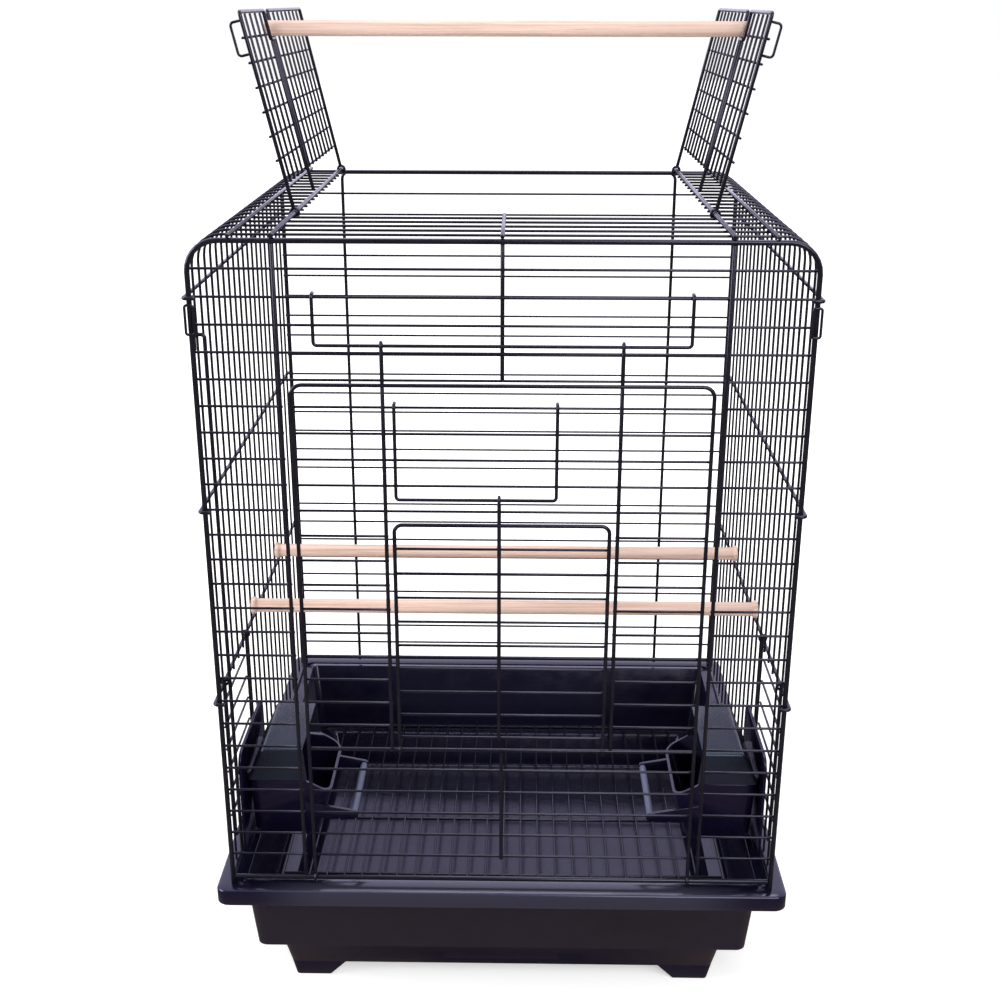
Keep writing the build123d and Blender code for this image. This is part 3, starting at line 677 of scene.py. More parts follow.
class CAGE_OT_stage(Operator):
    """Set up the camera, the pale floor and the studio light"""

    bl_idname = "cage.stage"
    bl_label = "Stage"

    def execute(self, context):
        stage = settings().stage
        self.place_camera(stage)
        self.lay_floor(stage)
        self.light_world(stage)
        for name, place, size, power in SOFTBOXES:
            data = bpy.data.lights.new(name, "AREA")
            data.size = size
            data.energy = power
            aim = (LIT_POINT - Vector(place)).to_track_quat("-Z", "Y")
            add_object(name, data).matrix_world = Matrix.Translation(place) @ aim.to_matrix().to_4x4()
        bpy.context.scene.view_settings.view_transform = "Standard"
        return {"FINISHED"}

    def place_camera(self, stage):
        data = bpy.data.cameras.new("camera")
        data.lens = stage.lens
        data.sensor_width = SENSOR
        data.clip_start = NEAR_CLIP
        data.clip_end = FAR_CLIP
        level = cos(stage.pitch)
        forward = Vector((sin(stage.yaw) * level, cos(stage.yaw) * level, -sin(stage.pitch)))
        right = Vector((cos(stage.yaw), -sin(stage.yaw), 0.0))
        right.rotate(Matrix.Rotation(-stage.roll, 3, forward))
        turn = Matrix((right, right.cross(forward), -forward)).transposed()
        camera = add_object("camera", data)
        camera.matrix_world = Matrix.Translation(stage.eye) @ turn.to_4x4()
        bpy.context.scene.camera = camera

    def lay_floor(self, stage):
        """A matt floor that keeps the shadow, turns white further off, and is dim and warm in gloss."""
        bm = bmesh.new()
        bmesh.ops.create_grid(bm, x_segments=2, y_segments=2, size=stage.floor_half)
        floor = add_object("floor", mesh_from(bm, "floor"))
        material = bpy.data.materials.new("pale_floor")
        material.use_nodes = True
        made = Nodes(material.node_tree)
        made.tree.nodes.clear()
        ray = made.add("ShaderNodeLightPath").outputs
        away = made.add("ShaderNodeVectorMath", operation="LENGTH")
        made.join(made.add("ShaderNodeTexCoord").outputs["Object"], away.inputs[0])
        lift = made.rise(away.outputs["Value"], stage.lift_from, stage.lift_to, stage.floor_lift, 1.0)
        glow = made.add("ShaderNodeEmission")
        made.join(made.sum("MULTIPLY", self.seen(made, ray), lift), glow.inputs["Strength"])
        mirrored = made.feed(made.add("ShaderNodeEmission"), (*settings().colours.gloss_front, 1.0),
                             stage.gloss_front)
        matt = made.feed(made.add("ShaderNodeBsdfDiffuse"), FLOOR_TONE)
        both = made.feed(made.add("ShaderNodeAddShader"), matt, glow.outputs[0])
        picked = made.feed(made.add("ShaderNodeMixShader"), ray["Is Glossy Ray"], both, mirrored)
        made.join(picked, made.add("ShaderNodeOutputMaterial").inputs["Surface"])
        floor.data.materials.append(material)

    def seen(self, made, ray):
        """One for what the camera sees, straight on or through a clear part."""
        return made.sum("MAXIMUM", ray["Is Camera Ray"], ray["Is Transmission Ray"])

    def light_world(self, stage):
        """White to the eye, even as light, and in gloss cool and dimmer in front than behind or above."""
        world = bpy.data.worlds.new("studio")
        world.use_nodes = True
        bpy.context.scene.world = world
        made = Nodes(world.node_tree)
        back = made.tree.nodes["Background"]
        ray = made.add("ShaderNodeLightPath").outputs
        tint = made.mix(ray["Is Glossy Ray"], (1.0, 1.0, 1.0), settings().colours.gloss_back)
        made.join(tint, back.inputs["Color"])
        heading = made.add("ShaderNodeTexCoord").outputs["Generated"]
        _, y, z = made.feed(made.add("ShaderNodeSeparateXYZ"), heading).node.outputs
        behind = made.sum("ADD", y, made.sum("MULTIPLY", z, GLOSS_HEIGHT))
        gloss = made.rise(behind, *GLOSS_TURN, stage.gloss_front, stage.gloss_back)
        level = made.add("ShaderNodeMix", data_type="FLOAT")
        made.feed(level, ray["Is Glossy Ray"])
        level.inputs["A"].default_value = stage.ambient
        made.join(gloss, level.inputs["B"])
        made.join(made.sum("MAXIMUM", self.seen(made, ray), level.outputs[0]), back.inputs["Strength"])


def rounded_ring(bm, half_x, half_y, radius, z, centre=(0.0, 0.0)):
    """The edges of a rounded rectangle at one height."""
    place = Matrix.Translation((*centre, z)) @ Matrix.Diagonal((half_x, half_y, 1.0, 1.0))
    made = bmesh.ops.create_circle(bm, segments=4, radius=2.0 ** 0.5, cap_ends=True,
                                   matrix=place @ Matrix.Rotation(pi / 4, 4, "Z"))
    bevel = bmesh.ops.bevel(bm, geom=made["verts"], offset=radius, segments=settings().base.corner_steps,
                            profile=0.5, affect="VERTICES", material=-1)
    corner_verts = set(bevel["verts"])
    face = next(f for f in bm.faces if set(f.verts) == corner_verts)
    edges = list(face.edges)
    bmesh.ops.delete(bm, geom=[face], context="FACES_ONLY")
    return edges


def stack_rings(bm, levels):
    """A closed moulding through rounded rectangles of (half x, half y, corner, height[, centre])."""
    rings = [rounded_ring(bm, *level) for level in levels]
    for lower, upper in zip(rings, rings[1:]):
        bmesh.ops.bridge_loops(bm, edges=lower + upper)
    for ring in (rings[0], rings[-1]):
        bmesh.ops.edgeloop_fill(bm, edges=ring)
    bmesh.ops.recalc_face_normals(bm, faces=bm.faces)


def arc(radius, span):
    """Points along an arc, each as its two reaches from the centre."""
    count = settings().base.corner_steps
    return [(radius * cos(span * i / count), radius * sin(span * i / count)) for i in range(count + 1)]


def slab(bm, outline, depth):
    """A flat outline pushed through to a closed block."""
    face = bm.faces.new([bm.verts.new(point) for point in outline])
    made = bmesh.ops.extrude_face_region(bm, geom=[face])["geom"]
    verts = of_kind(BMVert, made)
    bmesh.ops.translate(bm, verts=verts, vec=depth)
    corners = verts + list(face.verts)
    bmesh.ops.recalc_face_normals(bm, faces=list(dict.fromkeys(f for v in corners for f in v.link_faces)))
    return list(dict.fromkeys(e for v in corners for e in v.link_edges))


def soft_slab(bm, outline, depth, offset):
    """A slab with its sharp edges rounded."""
    round_off(bm, [e for e in slab(bm, outline, depth) if e.calc_face_angle(0.0) > FOLD], offset)


def soft_block(bm, low, high, offset):
    """A block between two corners, with its edges rounded."""
    (x0, y0, z0), (x1, y1, z1) = low, high
    soft_slab(bm, [(x0, y0, z0), (x1, y0, z0), (x1, y0, z1), (x0, y0, z1)], (0.0, y1 - y0, 0.0), offset)


def join_mesh(bm, other):
    """Adds a finished bmesh to another one."""
    mesh = mesh_from(other, "joined")
    bm.from_mesh(mesh)
    bpy.data.meshes.remove(mesh)


def cut_flat(bm, point, normal):
    """Cuts a closed shape along a plane, drops the side that the normal points to and closes the cut."""
    geom = list(bm.verts) + list(bm.edges) + list(bm.faces)
    cut = bmesh.ops.bisect_plane(bm, geom=geom, dist=MERGE, plane_co=point, clear_outer=True,
                                 plane_no=Vector(normal).normalized())["geom_cut"]
    bmesh.ops.edgeloop_fill(bm, edges=of_kind(BMEdge, cut))
    bmesh.ops.recalc_face_normals(bm, faces=bm.faces)


def cut_by(bm, cutter):
    """Takes a closed cutter out of a closed shape, with an exact Boolean modifier that is applied."""
    whole, tool = [add_object("cut", mesh_from(source, "cut")) for source in (bm.copy(), cutter)]
    boolean = whole.modifiers.new("cut", "BOOLEAN")
    boolean.operation = "DIFFERENCE"
    boolean.solver = "EXACT"
    boolean.object = tool
    done = whole.evaluated_get(bpy.context.evaluated_depsgraph_get())
    bm.clear()
    bm.from_mesh(done.to_mesh())
    done.to_mesh_clear()
    for helper in (whole, tool):
        mesh = helper.data
        bpy.data.objects.remove(helper)
        bpy.data.meshes.remove(mesh)


def mirror_left(bm, sign):
    """Turns what is drawn for the right side into the left side's."""
    if sign < 0:
        bmesh.ops.scale(bm, vec=(-1.0, 1.0, 1.0), verts=bm.verts)
        bmesh.ops.reverse_faces(bm, faces=bm.faces)


class CAGE_OT_base(Operator):
    """Mould the base: tub, stepped foot, rolled rim and four feet"""

    bl_idname = "cage.base"
    bl_label = "Base"

    def execute(self, context):
        base = settings().base
        rim_low, rim_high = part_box("base_rim")
        tub_low, tub_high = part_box("base_tub")
        pan_low, pan_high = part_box("base_pan")
        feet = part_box("base_feet")[1].xy
        wall, soft, edge = base.wall, base.fillet, base.wall * EDGE_SHARE
        top, groove, ledge, floor = rim_high.z, rim_high.z - wall, tub_low.z + wall, pan_low.z + wall
        rim = (rim_high.xy, base.rim_corner)
        tub_top = (tub_high.xy, base.tub_corner)
        tub_foot = (tub_high.xy - Vector((base.tub_taper, base.tub_taper)), base.tub_corner)
        step_top = (pan_high.xy, base.step_corner)
        step_foot = (feet, base.step_corner)
        rings = (
            # Inside, from the floor up
            (step_foot, wall + soft, floor),
            (step_foot, wall + soft * MIDDLE, floor + soft * MIDDLE),
            (step_foot, wall, floor + soft),
            (step_top, wall, ledge - edge - TILT),
            (step_top, wall - edge, ledge - TILT),
            (tub_foot, wall + soft, ledge),
            (tub_foot, wall + soft * MIDDLE, ledge + soft * MIDDLE),
            (tub_foot, wall, ledge + soft),
            (tub_top, wall, top - edge - TILT),
            (tub_top, wall - edge, top - TILT),
            # Over the rim and back under it
            (rim, soft * LIP_REACH, top),
            (rim, soft * LIP_MIDDLE, top - soft * LIP_MIDDLE),
            (rim, 0.0, top - soft * LIP_REACH),
            (rim, 0.0, rim_low.z + edge),
            (rim, edge, rim_low.z),
            (rim, wall - edge, rim_low.z + TILT),
            (rim, wall, rim_low.z + TILT + edge),
            (rim, wall, groove - edge),
            (rim, wall + edge, groove),
            # Outside, down to the underside
            (tub_top, -edge, groove - TILT),
            (tub_top, 0.0, groove - TILT - edge),
            (tub_foot, 0.0, tub_low.z + edge),
            (tub_foot, edge, tub_low.z),
            (step_top, -edge, tub_low.z - TILT),
            (step_top, 0.0, tub_low.z - TILT - edge),
            (step_foot, 0.0, pan_low.z + edge),
            (step_foot, edge, pan_low.z),
        )
        bm = bmesh.new()
        stack_rings(bm, [(size.x - by, size.y - by, max(corner - by, edge), z)
                         for (size, corner), by, z in rings])
        cut_by(bm, self.recess(base, feet, pan_low.z))
        for x in (-1, 1):
            for y in (-1, 1):
                join_mesh(bm, self.foot(base, feet, pan_low.z, x, y))
        publish(bm, "base_moulding", "base_rim", "base_tub", "base_pan", "base_feet", sharp=SHARP_MOULD)
        return {"FINISHED"}

    def recess(self, base, size, underside):
        """What is taken off the front's lower edge: a shallow cut and two finger notches."""
        bm = bmesh.new()
        half, notch, rise = base.recess_half, base.notch_length, base.notch_rise
        outline = [(-half, -notch), (-half, rise), (notch - half, rise), (notch - half, base.recess_rise),
                   (half - notch, base.recess_rise), (half - notch, rise), (half, rise), (half, -notch)]
        slab(bm, [(x, -size.y - notch, underside + z) for x, z in outline], (0.0, notch, 0.0))
        return bm

    def foot(self, base, size, top, x_side, y_side):
        """A foot: a corner of the step's outline, with its inner faces cut and its edges rounded."""
        bm = bmesh.new()
        inset = base.foot_inset
        stack_rings(bm, [(size.x - inset, size.y - inset, base.step_corner - inset, 0.0),
                         (size.x, size.y, base.step_corner, top + base.foot_round)])
        slant = (-top * x_side, 0.0, -base.foot_chamfer)
        cut_flat(bm, ((size.x - base.foot_length) * x_side, 0.0, 0.0), slant)
        cut_flat(bm, (0.0, (size.y - base.foot_depth) * y_side, 0.0), (0.0, -y_side, 0.0))
        round_off(bm, [e for e in bm.edges if e.calc_face_angle(0.0) > FOLD], base.foot_round)
        return bm


class CAGE_OT_floor_grille(Operator):
    """Lay the wire grille in the tub: a ring, cross ribs and depth wires"""

    bl_idname = "cage.floor_grille"
    bl_label = "Floor Grille"

    def execute(self, context):
        wires = settings().wires
        low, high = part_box("grille_ring")
        radius = wires.bar / 2
        x, y, z = high.x - radius, high.y - radius, (low.z + high.z) / 2
        ring = [(0, -y, z), (x, -y, z), (x, y, z), (-x, y, z), (-x, -y, z), (0, -y, z)]
        wire_piece("grille_ring_wire", "grille_ring", [(ring, wires.bar, settings().base.grille_bend)])
        runs = []
        for part in loose_parts("floor_grille"):
            low, high = box_of(part)
            across = high.x - low.x > high.y - low.y
            runs.append((bar_ends(part), wires.bar if across else wires.row))
        wire_piece("floor_grille_wires", "floor_grille", runs)
        return {"FINISHED"}


class CAGE_OT_panels(Operator):
    """Draw the front and back panels: frames, rails, rows, posts and hoops"""

    bl_idname = "cage.panels"
    bl_label = "Front and Back Panels"

    def execute(self, context):
        wires = settings().wires
        round_arches("front_frame_wire", "front_frame", wires.rail, wires.corner_bend)
        round_arches("back_frame_wire", "back_frame", wires.rail, wires.corner_bend)
        round_arches("back_hoop_wires", "back_hoops", wires.bar, wires.hoop_bend)
        self.bottom_rails(wires)
        round_bars("front_post_wires", "front_posts", wires.bar)
        for node in ("front_rows_upper", "front_rows_left", "front_rows_right", "back_rows"):
            round_bars(f"{node}_wires", node, wires.row)
        return {"FINISHED"}

    def bottom_rails(self, wires):
        """Four straight bars; the side ones stop against the front and back ones."""
        low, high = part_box("bottom_rails")
        radius = wires.rail / 2
        x, y, z = high.x - radius, high.y - radius, (low.z + high.z) / 2
        end, side_end = x - radius, y - radius - TILT
        runs = []
        for sign in (-1, 1):
            runs.append(([(-end, sign * y, z), (end, sign * y, z)], wires.rail))
            runs.append(([(sign * x, -side_end, z), (sign * x, side_end, z)], wires.rail))
        wire_piece("bottom_rail_wires", "bottom_rails", runs)


class CAGE_OT_walls(Operator):
    """Draw the side walls and the roof: wall wires, hoops, supports, clips and edge wires"""

    bl_idname = "cage.walls"
    bl_label = "Walls and Roof"

    def execute(self, context):
        wires = settings().wires
        for side, sign in SIDES:
            self.wall_wires(side, sign, wires)
            self.supports(side, sign, wires)
            self.corner_clip(side, wires)
        round_arches("roof_hoop_wires", "roof_hoops", wires.row, wires.corner_bend)
        round_bars("roof_edge_bars", "roof_edge_wires", wires.edge)
        round_bars("roof_depth_bars", "roof_depth_wires", wires.bar)
        self.side_post(wires)
        return {"FINISHED"}

    def ends(self, low, high, radius, sign):
        """Where a wire stands in the wall, and where its inner end lies."""
        return (high.x - radius, low.x) if sign > 0 else (low.x + radius, high.x)

    def wall_wires(self, side, sign, wires):
        """Up the wall, round the shoulder and in to the roof opening."""
        node = f"{side}_side_wires"
        runs = []
        for low, high in map(box_of, loose_parts(node)):
            outer, inner = self.ends(low, high, wires.row / 2, sign)
            y, top = (low.y + high.y) / 2, high.z - wires.row / 2
            route = [(outer, y, low.z), (outer, y, top), (inner, y, top)]
            runs.append((route, wires.row, wires.corner_bend))
        wire_piece(f"{side}_wall_wires", node, runs)

    def supports(self, side, sign, wires):
        """From back to front along the wall, and hooked round the front corner post."""
        node = f"{side}_side_supports"
        runs = []
        for low, high in map(box_of, loose_parts(node)):
            outer, inner = self.ends(low, high, wires.bar / 2, sign)
            z, front = (low.z + high.z) / 2, low.y + wires.bar / 2
            route = [(outer, high.y, z), (outer, front, z), (inner, front, z)]
            runs.append((route, wires.bar, wires.tight_bend))
        wire_piece(f"{side}_support_wires", node, runs)

    def corner_clip(self, side, wires):
        node = f"{side}_corner_clip"
        low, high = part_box(node)
        reach = wires.row / 2 / SIX_SIDED
        x, y = (low.x + high.x) / 2, (low.y + high.y) / 2
        left, right, foot, top = low.x + reach, high.x - reach, low.z + reach, high.z - reach
        route = [(x, y, foot), (right, y, foot), (right, y, top), (left, y, top), (left, y, foot),
                 (x, y, foot)]
        wire_piece(f"{side}_corner_clip_wire", node, [(route, wires.row, CLIP_BEND)])

    def side_post(self, wires):
        low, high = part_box("left_side_post")
        radius = wires.bar / 2
        y = (low.y + high.y) / 2
        post, hook, top = high.x - radius, low.x + radius, high.z - radius
        route = [(post, y, low.z), (post, y, top), (hook, y, top), (hook, y, top - POST_HOOK)]
        wire_piece("left_side_post_wire", "left_side_post", [(route, wires.bar, wires.tight_bend)])


def door_frame(door, hinge_bar, bend):
    """A door's U frame, with an eye round its hinge bar at each foot."""
    wires = settings().wires
    node, hinge = f"{door}_frame", hinges[f"{door}_hinge"]
    low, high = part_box(node)
    radius = wires.bar / 2
    left, right, top = low.x + radius, high.x - radius, high.z - radius
    foot = hinge.z + hinge_bar / 2 + wires.play + wires.eye / 2
    route = [(x, hinge.y, z) for x, z in ((left, foot), (left, top), (right, top), (right, foot))]
    eyes = [((x, hinge.y, hinge.z), (1, 0, 0), hinge_bar) for x in (left, right)]
    wire_piece(f"{node}_wire", node, [(route, wires.bar, bend)], eyes)


def latched_upright(name, node, latch_hinge):
    """A door's upright: the part that runs up the door, and the part that ends in the latch's eye."""
    wires = settings().wires
    lower, upper = sorted(loose_parts(node), key=lambda part: box_of(part)[0].z)
    low, high = box_of(upper)
    x, y = (low.x + high.x) / 2, hinges["large_door_hinge"].y
    top = latch_hinge.z - wires.latch / 2 - wires.play - wires.eye / 2
    wire_piece(name, node, [(bar_ends(lower), wires.bar), ([(x, y, low.z), (x, y, top)], wires.bar)],
               [((x, latch_hinge.y, latch_hinge.z), (1, 0, 0), wires.latch)])


class CAGE_OT_large_door(Operator):
    """Draw the large front door: frame with hinge eyes, sill, rows and uprights"""

    bl_idname = "cage.large_door"
    bl_label = "Large Door"

    def execute(self, context):
        wires = settings().wires
        door_frame("large_door", wires.rail, wires.door_bend)
        round_bars("large_door_sill_bar", "large_door_sill", wires.bar)
        round_bars("large_door_lower_post_bar", "large_door_lower_post", wires.bar)
        for part in ("upper", "lower", "left", "right"):
            round_bars(f"large_door_{part}_row_wires", f"large_door_{part}_rows", wires.row)
        for side, _ in SIDES:
            node = f"large_door_{side}_upright"
            latched_upright(f"{node}_bar", node, hinges["large_latch_hinge"])
        return {"FINISHED"}


class CAGE_OT_small_door(Operator):
    """Draw the small door in the large one: frame with hinge eyes, rows and post"""

    bl_idname = "cage.small_door"
    bl_label = "Small Door"

    def execute(self, context):
        wires = settings().wires
        door_frame("small_door", wires.bar, wires.small_door_bend)
        round_bars("small_door_row_wires", "small_door_rows", wires.row)
        latched_upright("small_door_post_bar", "small_door_post", hinges["small_latch_hinge"])
        return {"FINISHED"}


class CAGE_OT_latches(Operator):
    """Bend the two U-shaped latches"""

    bl_idname = "cage.latches"
    bl_label = "Latches"

    def execute(self, context):
        wires = settings().wires
        radius = wires.latch / 2
        for node in ("large_door_latch", "small_door_latch"):
            low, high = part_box(node)
            left, right = low.x + radius, high.x - radius
            plane, foot, tip = low.y + radius, low.z + radius, high.z - radius
            route = [(left, high.y, tip), (left, plane, tip), (left, plane, foot),
                     (right, plane, foot), (right, plane, tip), (right, high.y, tip)]
            wire_piece(f"{node}_wire", node, [(route, wires.latch, wires.tight_bend)])
        return {"FINISHED"}


class CAGE_OT_flaps(Operator):
    """Draw the two open roof flaps: frame with cradle and eyes, mesh and finger pull"""

    bl_idname = "cage.flaps"
    bl_label = "Roof Flaps"

    def execute(self, context):
        """Each flap is drawn upright over the origin, and then leaned over its hinge."""
        wires, flaps = settings().wires, settings().flaps
        for side, sign in SIDES:
            flap = f"{side}_flap"
            place = Matrix.Translation(hinges[f"{flap}_hinge"]) @ Matrix.Rotation(flaps.lean * sign, 4, "Y")
            low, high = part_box(f"{flap}_frame")
            front, back = low.y + wires.bar / 2, high.y - wires.bar / 2
            self.frame(flap, front, back, place, wires, flaps)
            round_bars(f"{flap}_row_wires", f"{flap}_rows", wires.row)
            round_bars(f"{flap}_column_wires", f"{flap}_columns", wires.row)
            self.pull(flap, sign, front, place, wires, flaps)
        return {"FINISHED"}

    def frame(self, flap, front, back, place, wires, flaps):
        foot = wires.edge / 2 + wires.play + wires.eye / 2
        top, dip = flaps.height, flaps.height - flaps.cradle_depth
        near, far = flaps.cradle_y - flaps.cradle_half, flaps.cradle_y + flaps.cradle_half
        outline = ((front, foot), (front, top), (near, top), (near, dip),
                   (far, dip), (far, top), (back, top), (back, foot))
        cradle_bar = [(0, flaps.cradle_y, dip), (0, flaps.cradle_y, foot)]
        wire_piece(f"{flap}_frame_wire", f"{flap}_frame",
                   [([(0, y, z) for y, z in outline], wires.bar, wires.tight_bend), (cradle_bar, wires.bar)],
                   [((0, y, 0), (0, 1, 0), wires.edge) for y in (front, back)], place)

    def pull(self, flap, sign, front, place, wires, flaps):
        root, reach = sign * wires.bar / 2, sign * flaps.pull_reach
        top = flaps.height - flaps.pull_drop
        foot = top - flaps.pull_length
        route = [(x, front, z) for x, z in ((root, top), (reach, top), (reach, foot), (root, foot))]
        wire_piece(f"{flap}_pull_wire", f"{flap}_pull", [(route, wires.row, wires.tight_bend)], place=place)


class CAGE_OT_perches(Operator):
    """Turn the wooden perches: the play perch on the flaps and two inside"""

    bl_idname = "cage.perches"
    bl_label = "Perches"

    def execute(self, context):
        perches = settings().perches
        over = perches.diameter + 2 * perches.collar_step
        for node in ("play_perch", "rear_perch", "middle_perch"):
            low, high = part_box(node)
            y, z = (low.y + high.y) / 2, (low.z + high.z) / 2
            turned = [(low.x, high.x, perches.diameter)]
            if node != "play_perch":
                turned += [(low.x, low.x + perches.collar, over), (high.x - perches.collar, high.x, over)]
            wire_piece(f"{node}_dowel", node, [([(x0, y, z), (x1, y, z)], diameter, 0.0, DOWEL_SIDES)
                                               for x0, x1, diameter in turned])
        return {"FINISHED"}


class CAGE_OT_feeders(Operator):
    """Mould both feeders: bowl with arms and back plate, smoked hood and perch bar"""

    bl_idname = "cage.feeders"
    bl_label = "Feeders"

    def execute(self, context):
        feeders = settings().feeders
        for side, sign in SIDES:
            self.cup(side, sign, feeders)
            self.hood(side, sign, feeders)
            round_bars(f"{side}_feeder_perch_bar", f"{side}_feeder_perch", feeders.rod)
        return {"FINISHED"}

    def cup(self, side, sign, feeders):
        """The bowl, its two arms, the back plate with its hook, and the ledge that joins them."""
        node = f"{side}_feeder_cup"
        low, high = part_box(node)
        hood_low, hood_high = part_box(f"{side}_feeder_hood")
        rod_low, rod_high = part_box(f"{side}_feeder_perch")
        outer = max(abs(hood_low.x), abs(hood_high.x))
        front, back = hood_low.y, hood_high.y
        rim = hood_low.z - feeders.hood_gap
        bm = bmesh.new()
        join_mesh(bm, self.bowl(feeders, outer, front, back, rim))
        rod = Vector(((rod_low.x + rod_high.x) / 2 * sign, 0.0, (rod_low.z + rod_high.z) / 2))
        for y in (front, back - feeders.arm_thickness):
            self.arm(bm, feeders, rod, y)
        self.plate(bm, feeders, outer, front, back, low.z, high.z)
        soft_block(bm, (outer - feeders.wall / 2, front + feeders.ledge_inset, rim - feeders.ledge),
                   (outer + feeders.plate_back, back - feeders.ledge_inset, rim), feeders.arm_round)
        mirror_left(bm, sign)
        publish(bm, f"{side}_feeder_bowl", node, sharp=SHARP_MOULD)

    def bowl(self, feeders, outer, front, back, rim):
        """The tapered bowl, hollowed out, with its rim dipping towards the cage."""
        middle, half = (front + back) / 2, (back - front) / 2
        soft, lip, wall, depth = feeders.soft, feeders.lip_round, feeders.wall, feeders.depth

        def level(by, height):
            """The bowl's outline at a height, drawn in by a distance."""
            grow = height / depth
            inner = outer - feeders.foot - (feeders.mouth - feeders.foot) * grow
            outside = outer - feeders.wall_taper * (1.0 - grow)
            reach = half - feeders.taper * (1.0 - grow) - by
            return ((outside - inner) / 2 - by, reach, max(feeders.corner - by, wall), rim - depth + height,
                    ((outside + inner) / 2, middle))

        bm = bmesh.new()
        stack_rings(bm, [level(*place) for place in (
            (soft, 0.0), (soft * MIDDLE, soft * MIDDLE), (0.0, soft), (0.0, depth - lip), (lip, depth),
            (wall - lip, depth - TILT / 2), (wall, depth - lip), (wall, wall + soft),
            (wall + soft * MIDDLE, wall + soft * MIDDLE), (wall + soft, wall))])
        dip = bmesh.new()
        inner = outer - feeders.mouth
        slope = feeders.scoop_drop / feeders.scoop
        slab(dip, [(inner - wall, front - wall, rim - feeders.scoop_drop - slope * wall),
                   (inner + feeders.scoop + wall, front - wall, rim + slope * wall),
                   (inner - wall, front - wall, rim + depth)], (0.0, back - front + 2 * wall, 0.0))
        cut_by(bm, dip)
        return bm

    def arm(self, bm, feeders, rod, y):
        """A flat arm from the bowl's end to the perch bar."""
        root, tip = rod.x + feeders.arm_reach - feeders.arm_tip, feeders.arm_tip
        outline = [(rod.x - b, y, rod.z + a) for a, b in arc(tip, pi)]
        outline += [(root, y, rod.z - tip), (root, y, rod.z + feeders.arm_rise)]
        soft_slab(bm, outline, (0.0, feeders.arm_thickness, 0.0), feeders.arm_round)

    def plate(self, bm, feeders, outer, front, back, low, high):
        """The back plate with rounded upper corners, and the hook that stands on the wall's bottom rail."""
        x = outer + feeders.plate_back
        y0, y1, r = front - feeders.plate_margin, back + feeders.plate_margin, feeders.plate_corner
        turns = arc(r, pi / 2)
        outline = [(x, y1, low)]
        outline += [(x, y1 - r + a, high - r + b) for a, b in turns]
        outline += [(x, y0 + r - b, high - r + a) for a, b in turns]
        outline += [(x, y0, low)]
        soft_slab(bm, outline, (-feeders.wall, 0.0, 0.0), feeders.arm_round)
        middle = (front + back) / 2 + feeders.hook_shift
        half, reach = feeders.hook_half, feeders.hook_reach / 2
        top = low + feeders.hook_height
        soft_block(bm, (x - reach, middle - half, low), (x + reach, middle + half, top), feeders.arm_round)

    def hood(self, side, sign, feeders):
        """The hood: a folded sheet with closed ends, open below and towards the cage."""
        node = f"{side}_feeder_hood"
        low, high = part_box(node)
        outer, cage_side = max(abs(low.x), abs(high.x)), min(abs(low.x), abs(high.x))
        knee = high.z - feeders.hood_knee_drop
        # The sheet is drawn past its foot and cut there, so that its foot is flat all round.
        spare = feeders.wall
        spread = feeders.hood_knee_in * spare / (knee - low.z)
        stretch = feeders.hood_lean * spare / (high.z - low.z)
        profile = [(outer + spread, low.z - spare), (outer - feeders.hood_knee_in, knee),
                   (outer - feeders.hood_crown_in, high.z), (cage_side + feeders.hood_lean, high.z),
                   (cage_side - stretch, low.z - spare)]
        bm = bmesh.new()
        slab(bm, [(x, low.y, z) for x, z in profile], (0.0, high.y - low.y, 0.0))
        mouth = cage_side + feeders.hood_lean / 2
        openings = [f for f in bm.faces
                    if f.normal.z < FACING_DOWN or abs(f.calc_center_median().x - mouth) < feeders.wall / 2]
        bmesh.ops.delete(bm, geom=openings, context="FACES")
        round_off(bm, [e for e in bm.edges if len(e.link_faces) == 2], feeders.hood_round, HOOD_STEPS)
        bmesh.ops.recalc_face_normals(bm, faces=bm.faces)
        bmesh.ops.solidify(bm, geom=bm.faces, thickness=feeders.wall)
        cut_flat(bm, (0.0, 0.0, low.z), (0.0, 0.0, -1.0))
        mirror_left(bm, sign)
        publish(bm, f"{side}_feeder_hood_shell", node, sharp=SHARP_MOULD)


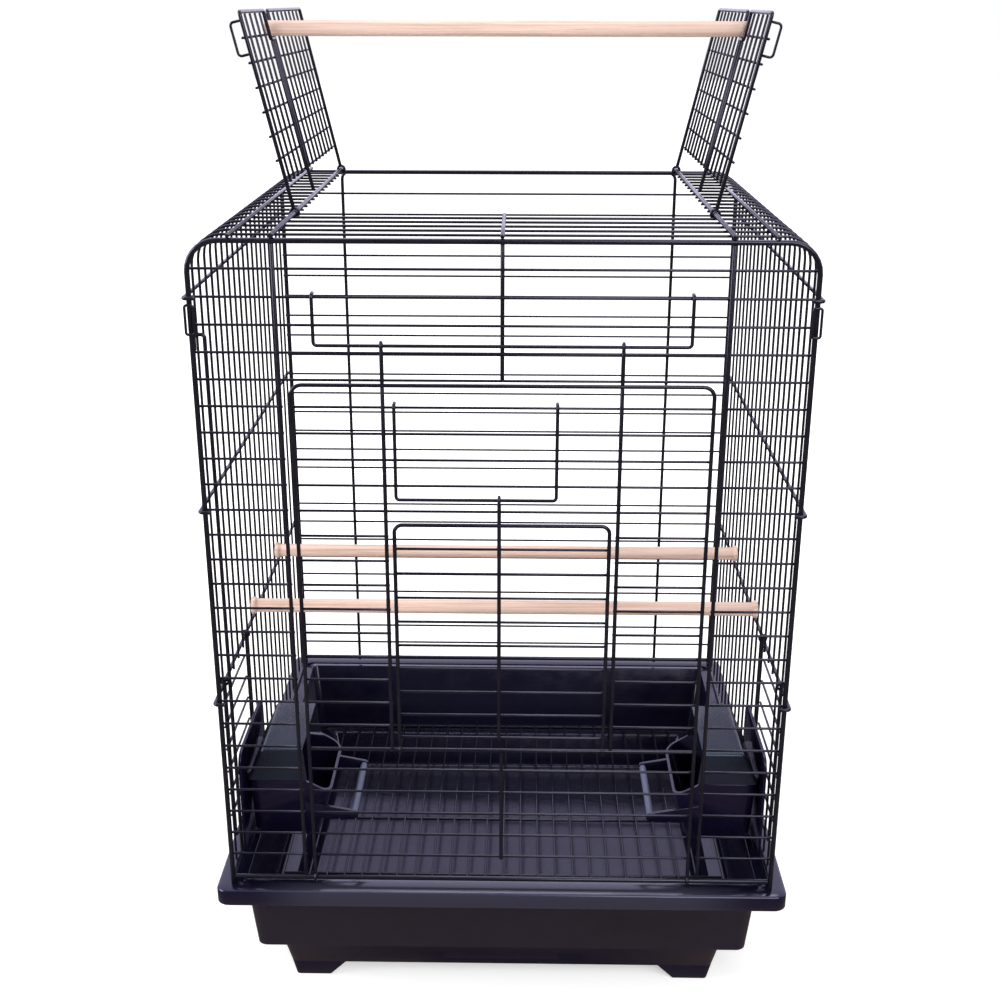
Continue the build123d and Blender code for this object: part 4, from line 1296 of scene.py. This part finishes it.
class CAGE_OT_feeder_doors(Operator):
    """Draw the wire doors outside the feeders"""

    bl_idname = "cage.feeder_doors"
    bl_label = "Feeder Doors"

    def execute(self, context):
        wires = settings().wires
        for side, _ in SIDES:
            door = f"{side}_feeder_door"
            low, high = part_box(f"{door}_frame")
            hinge = hinges[f"{door}_hinge"]
            front, back = low.y + wires.bar / 2, high.y - wires.bar / 2
            foot, top = low.z + wires.eye / 2, hinge.z - wires.bar / 2 - wires.play - wires.eye / 2
            route = [(hinge.x, y, z) for y, z in ((front, top), (front, foot), (back, foot), (back, top))]
            eyes = [((hinge.x, y, hinge.z), (0, 1, 0), wires.bar) for y in (front, back)]
            wire_piece(f"{door}_wire", f"{door}_frame", [(route, wires.eye, FEEDER_DOOR_BEND)], eyes)
            round_bars(f"{door}_row_wires", f"{door}_rows", wires.row)
        return {"FINISHED"}


class CAGE_PT_panel(bpy.types.Panel):
    """The cage's pieces, in the 3D view's sidebar"""

    bl_idname = "CAGE_PT_panel"
    bl_label = "Parrot Cage"
    bl_space_type = "VIEW_3D"
    bl_region_type = "UI"
    bl_category = "Parrot Cage"

    def draw(self, context):
        for operator in OPERATORS:
            self.layout.operator(operator.bl_idname)


GROUPS = (CageWireSizes, CageFlapSizes, CageBaseSizes, CageFeederSizes, CagePerchSizes, CageColours,
          CageStageSizes, CageSettings)
OPERATORS = (CAGE_OT_stage, CAGE_OT_base, CAGE_OT_floor_grille, CAGE_OT_panels, CAGE_OT_walls,
             CAGE_OT_large_door, CAGE_OT_small_door, CAGE_OT_latches, CAGE_OT_flaps, CAGE_OT_perches,
             CAGE_OT_feeders, CAGE_OT_feeder_doors)
CLASSES = GROUPS + OPERATORS + (CAGE_PT_panel,)


def register():
    for cls in CLASSES:
        bpy.utils.register_class(cls)
    bpy.types.Scene.parrot_cage = PointerProperty(type=CageSettings)


def unregister():
    del bpy.types.Scene.parrot_cage
    for cls in reversed(CLASSES):
        bpy.utils.unregister_class(cls)


def main():
    """Makes every piece in order."""
    register()
    for operator in OPERATORS:
        group, name = operator.bl_idname.split(".")
        getattr(getattr(bpy.ops, group), name)()


if __name__ == "__main__":
    main()
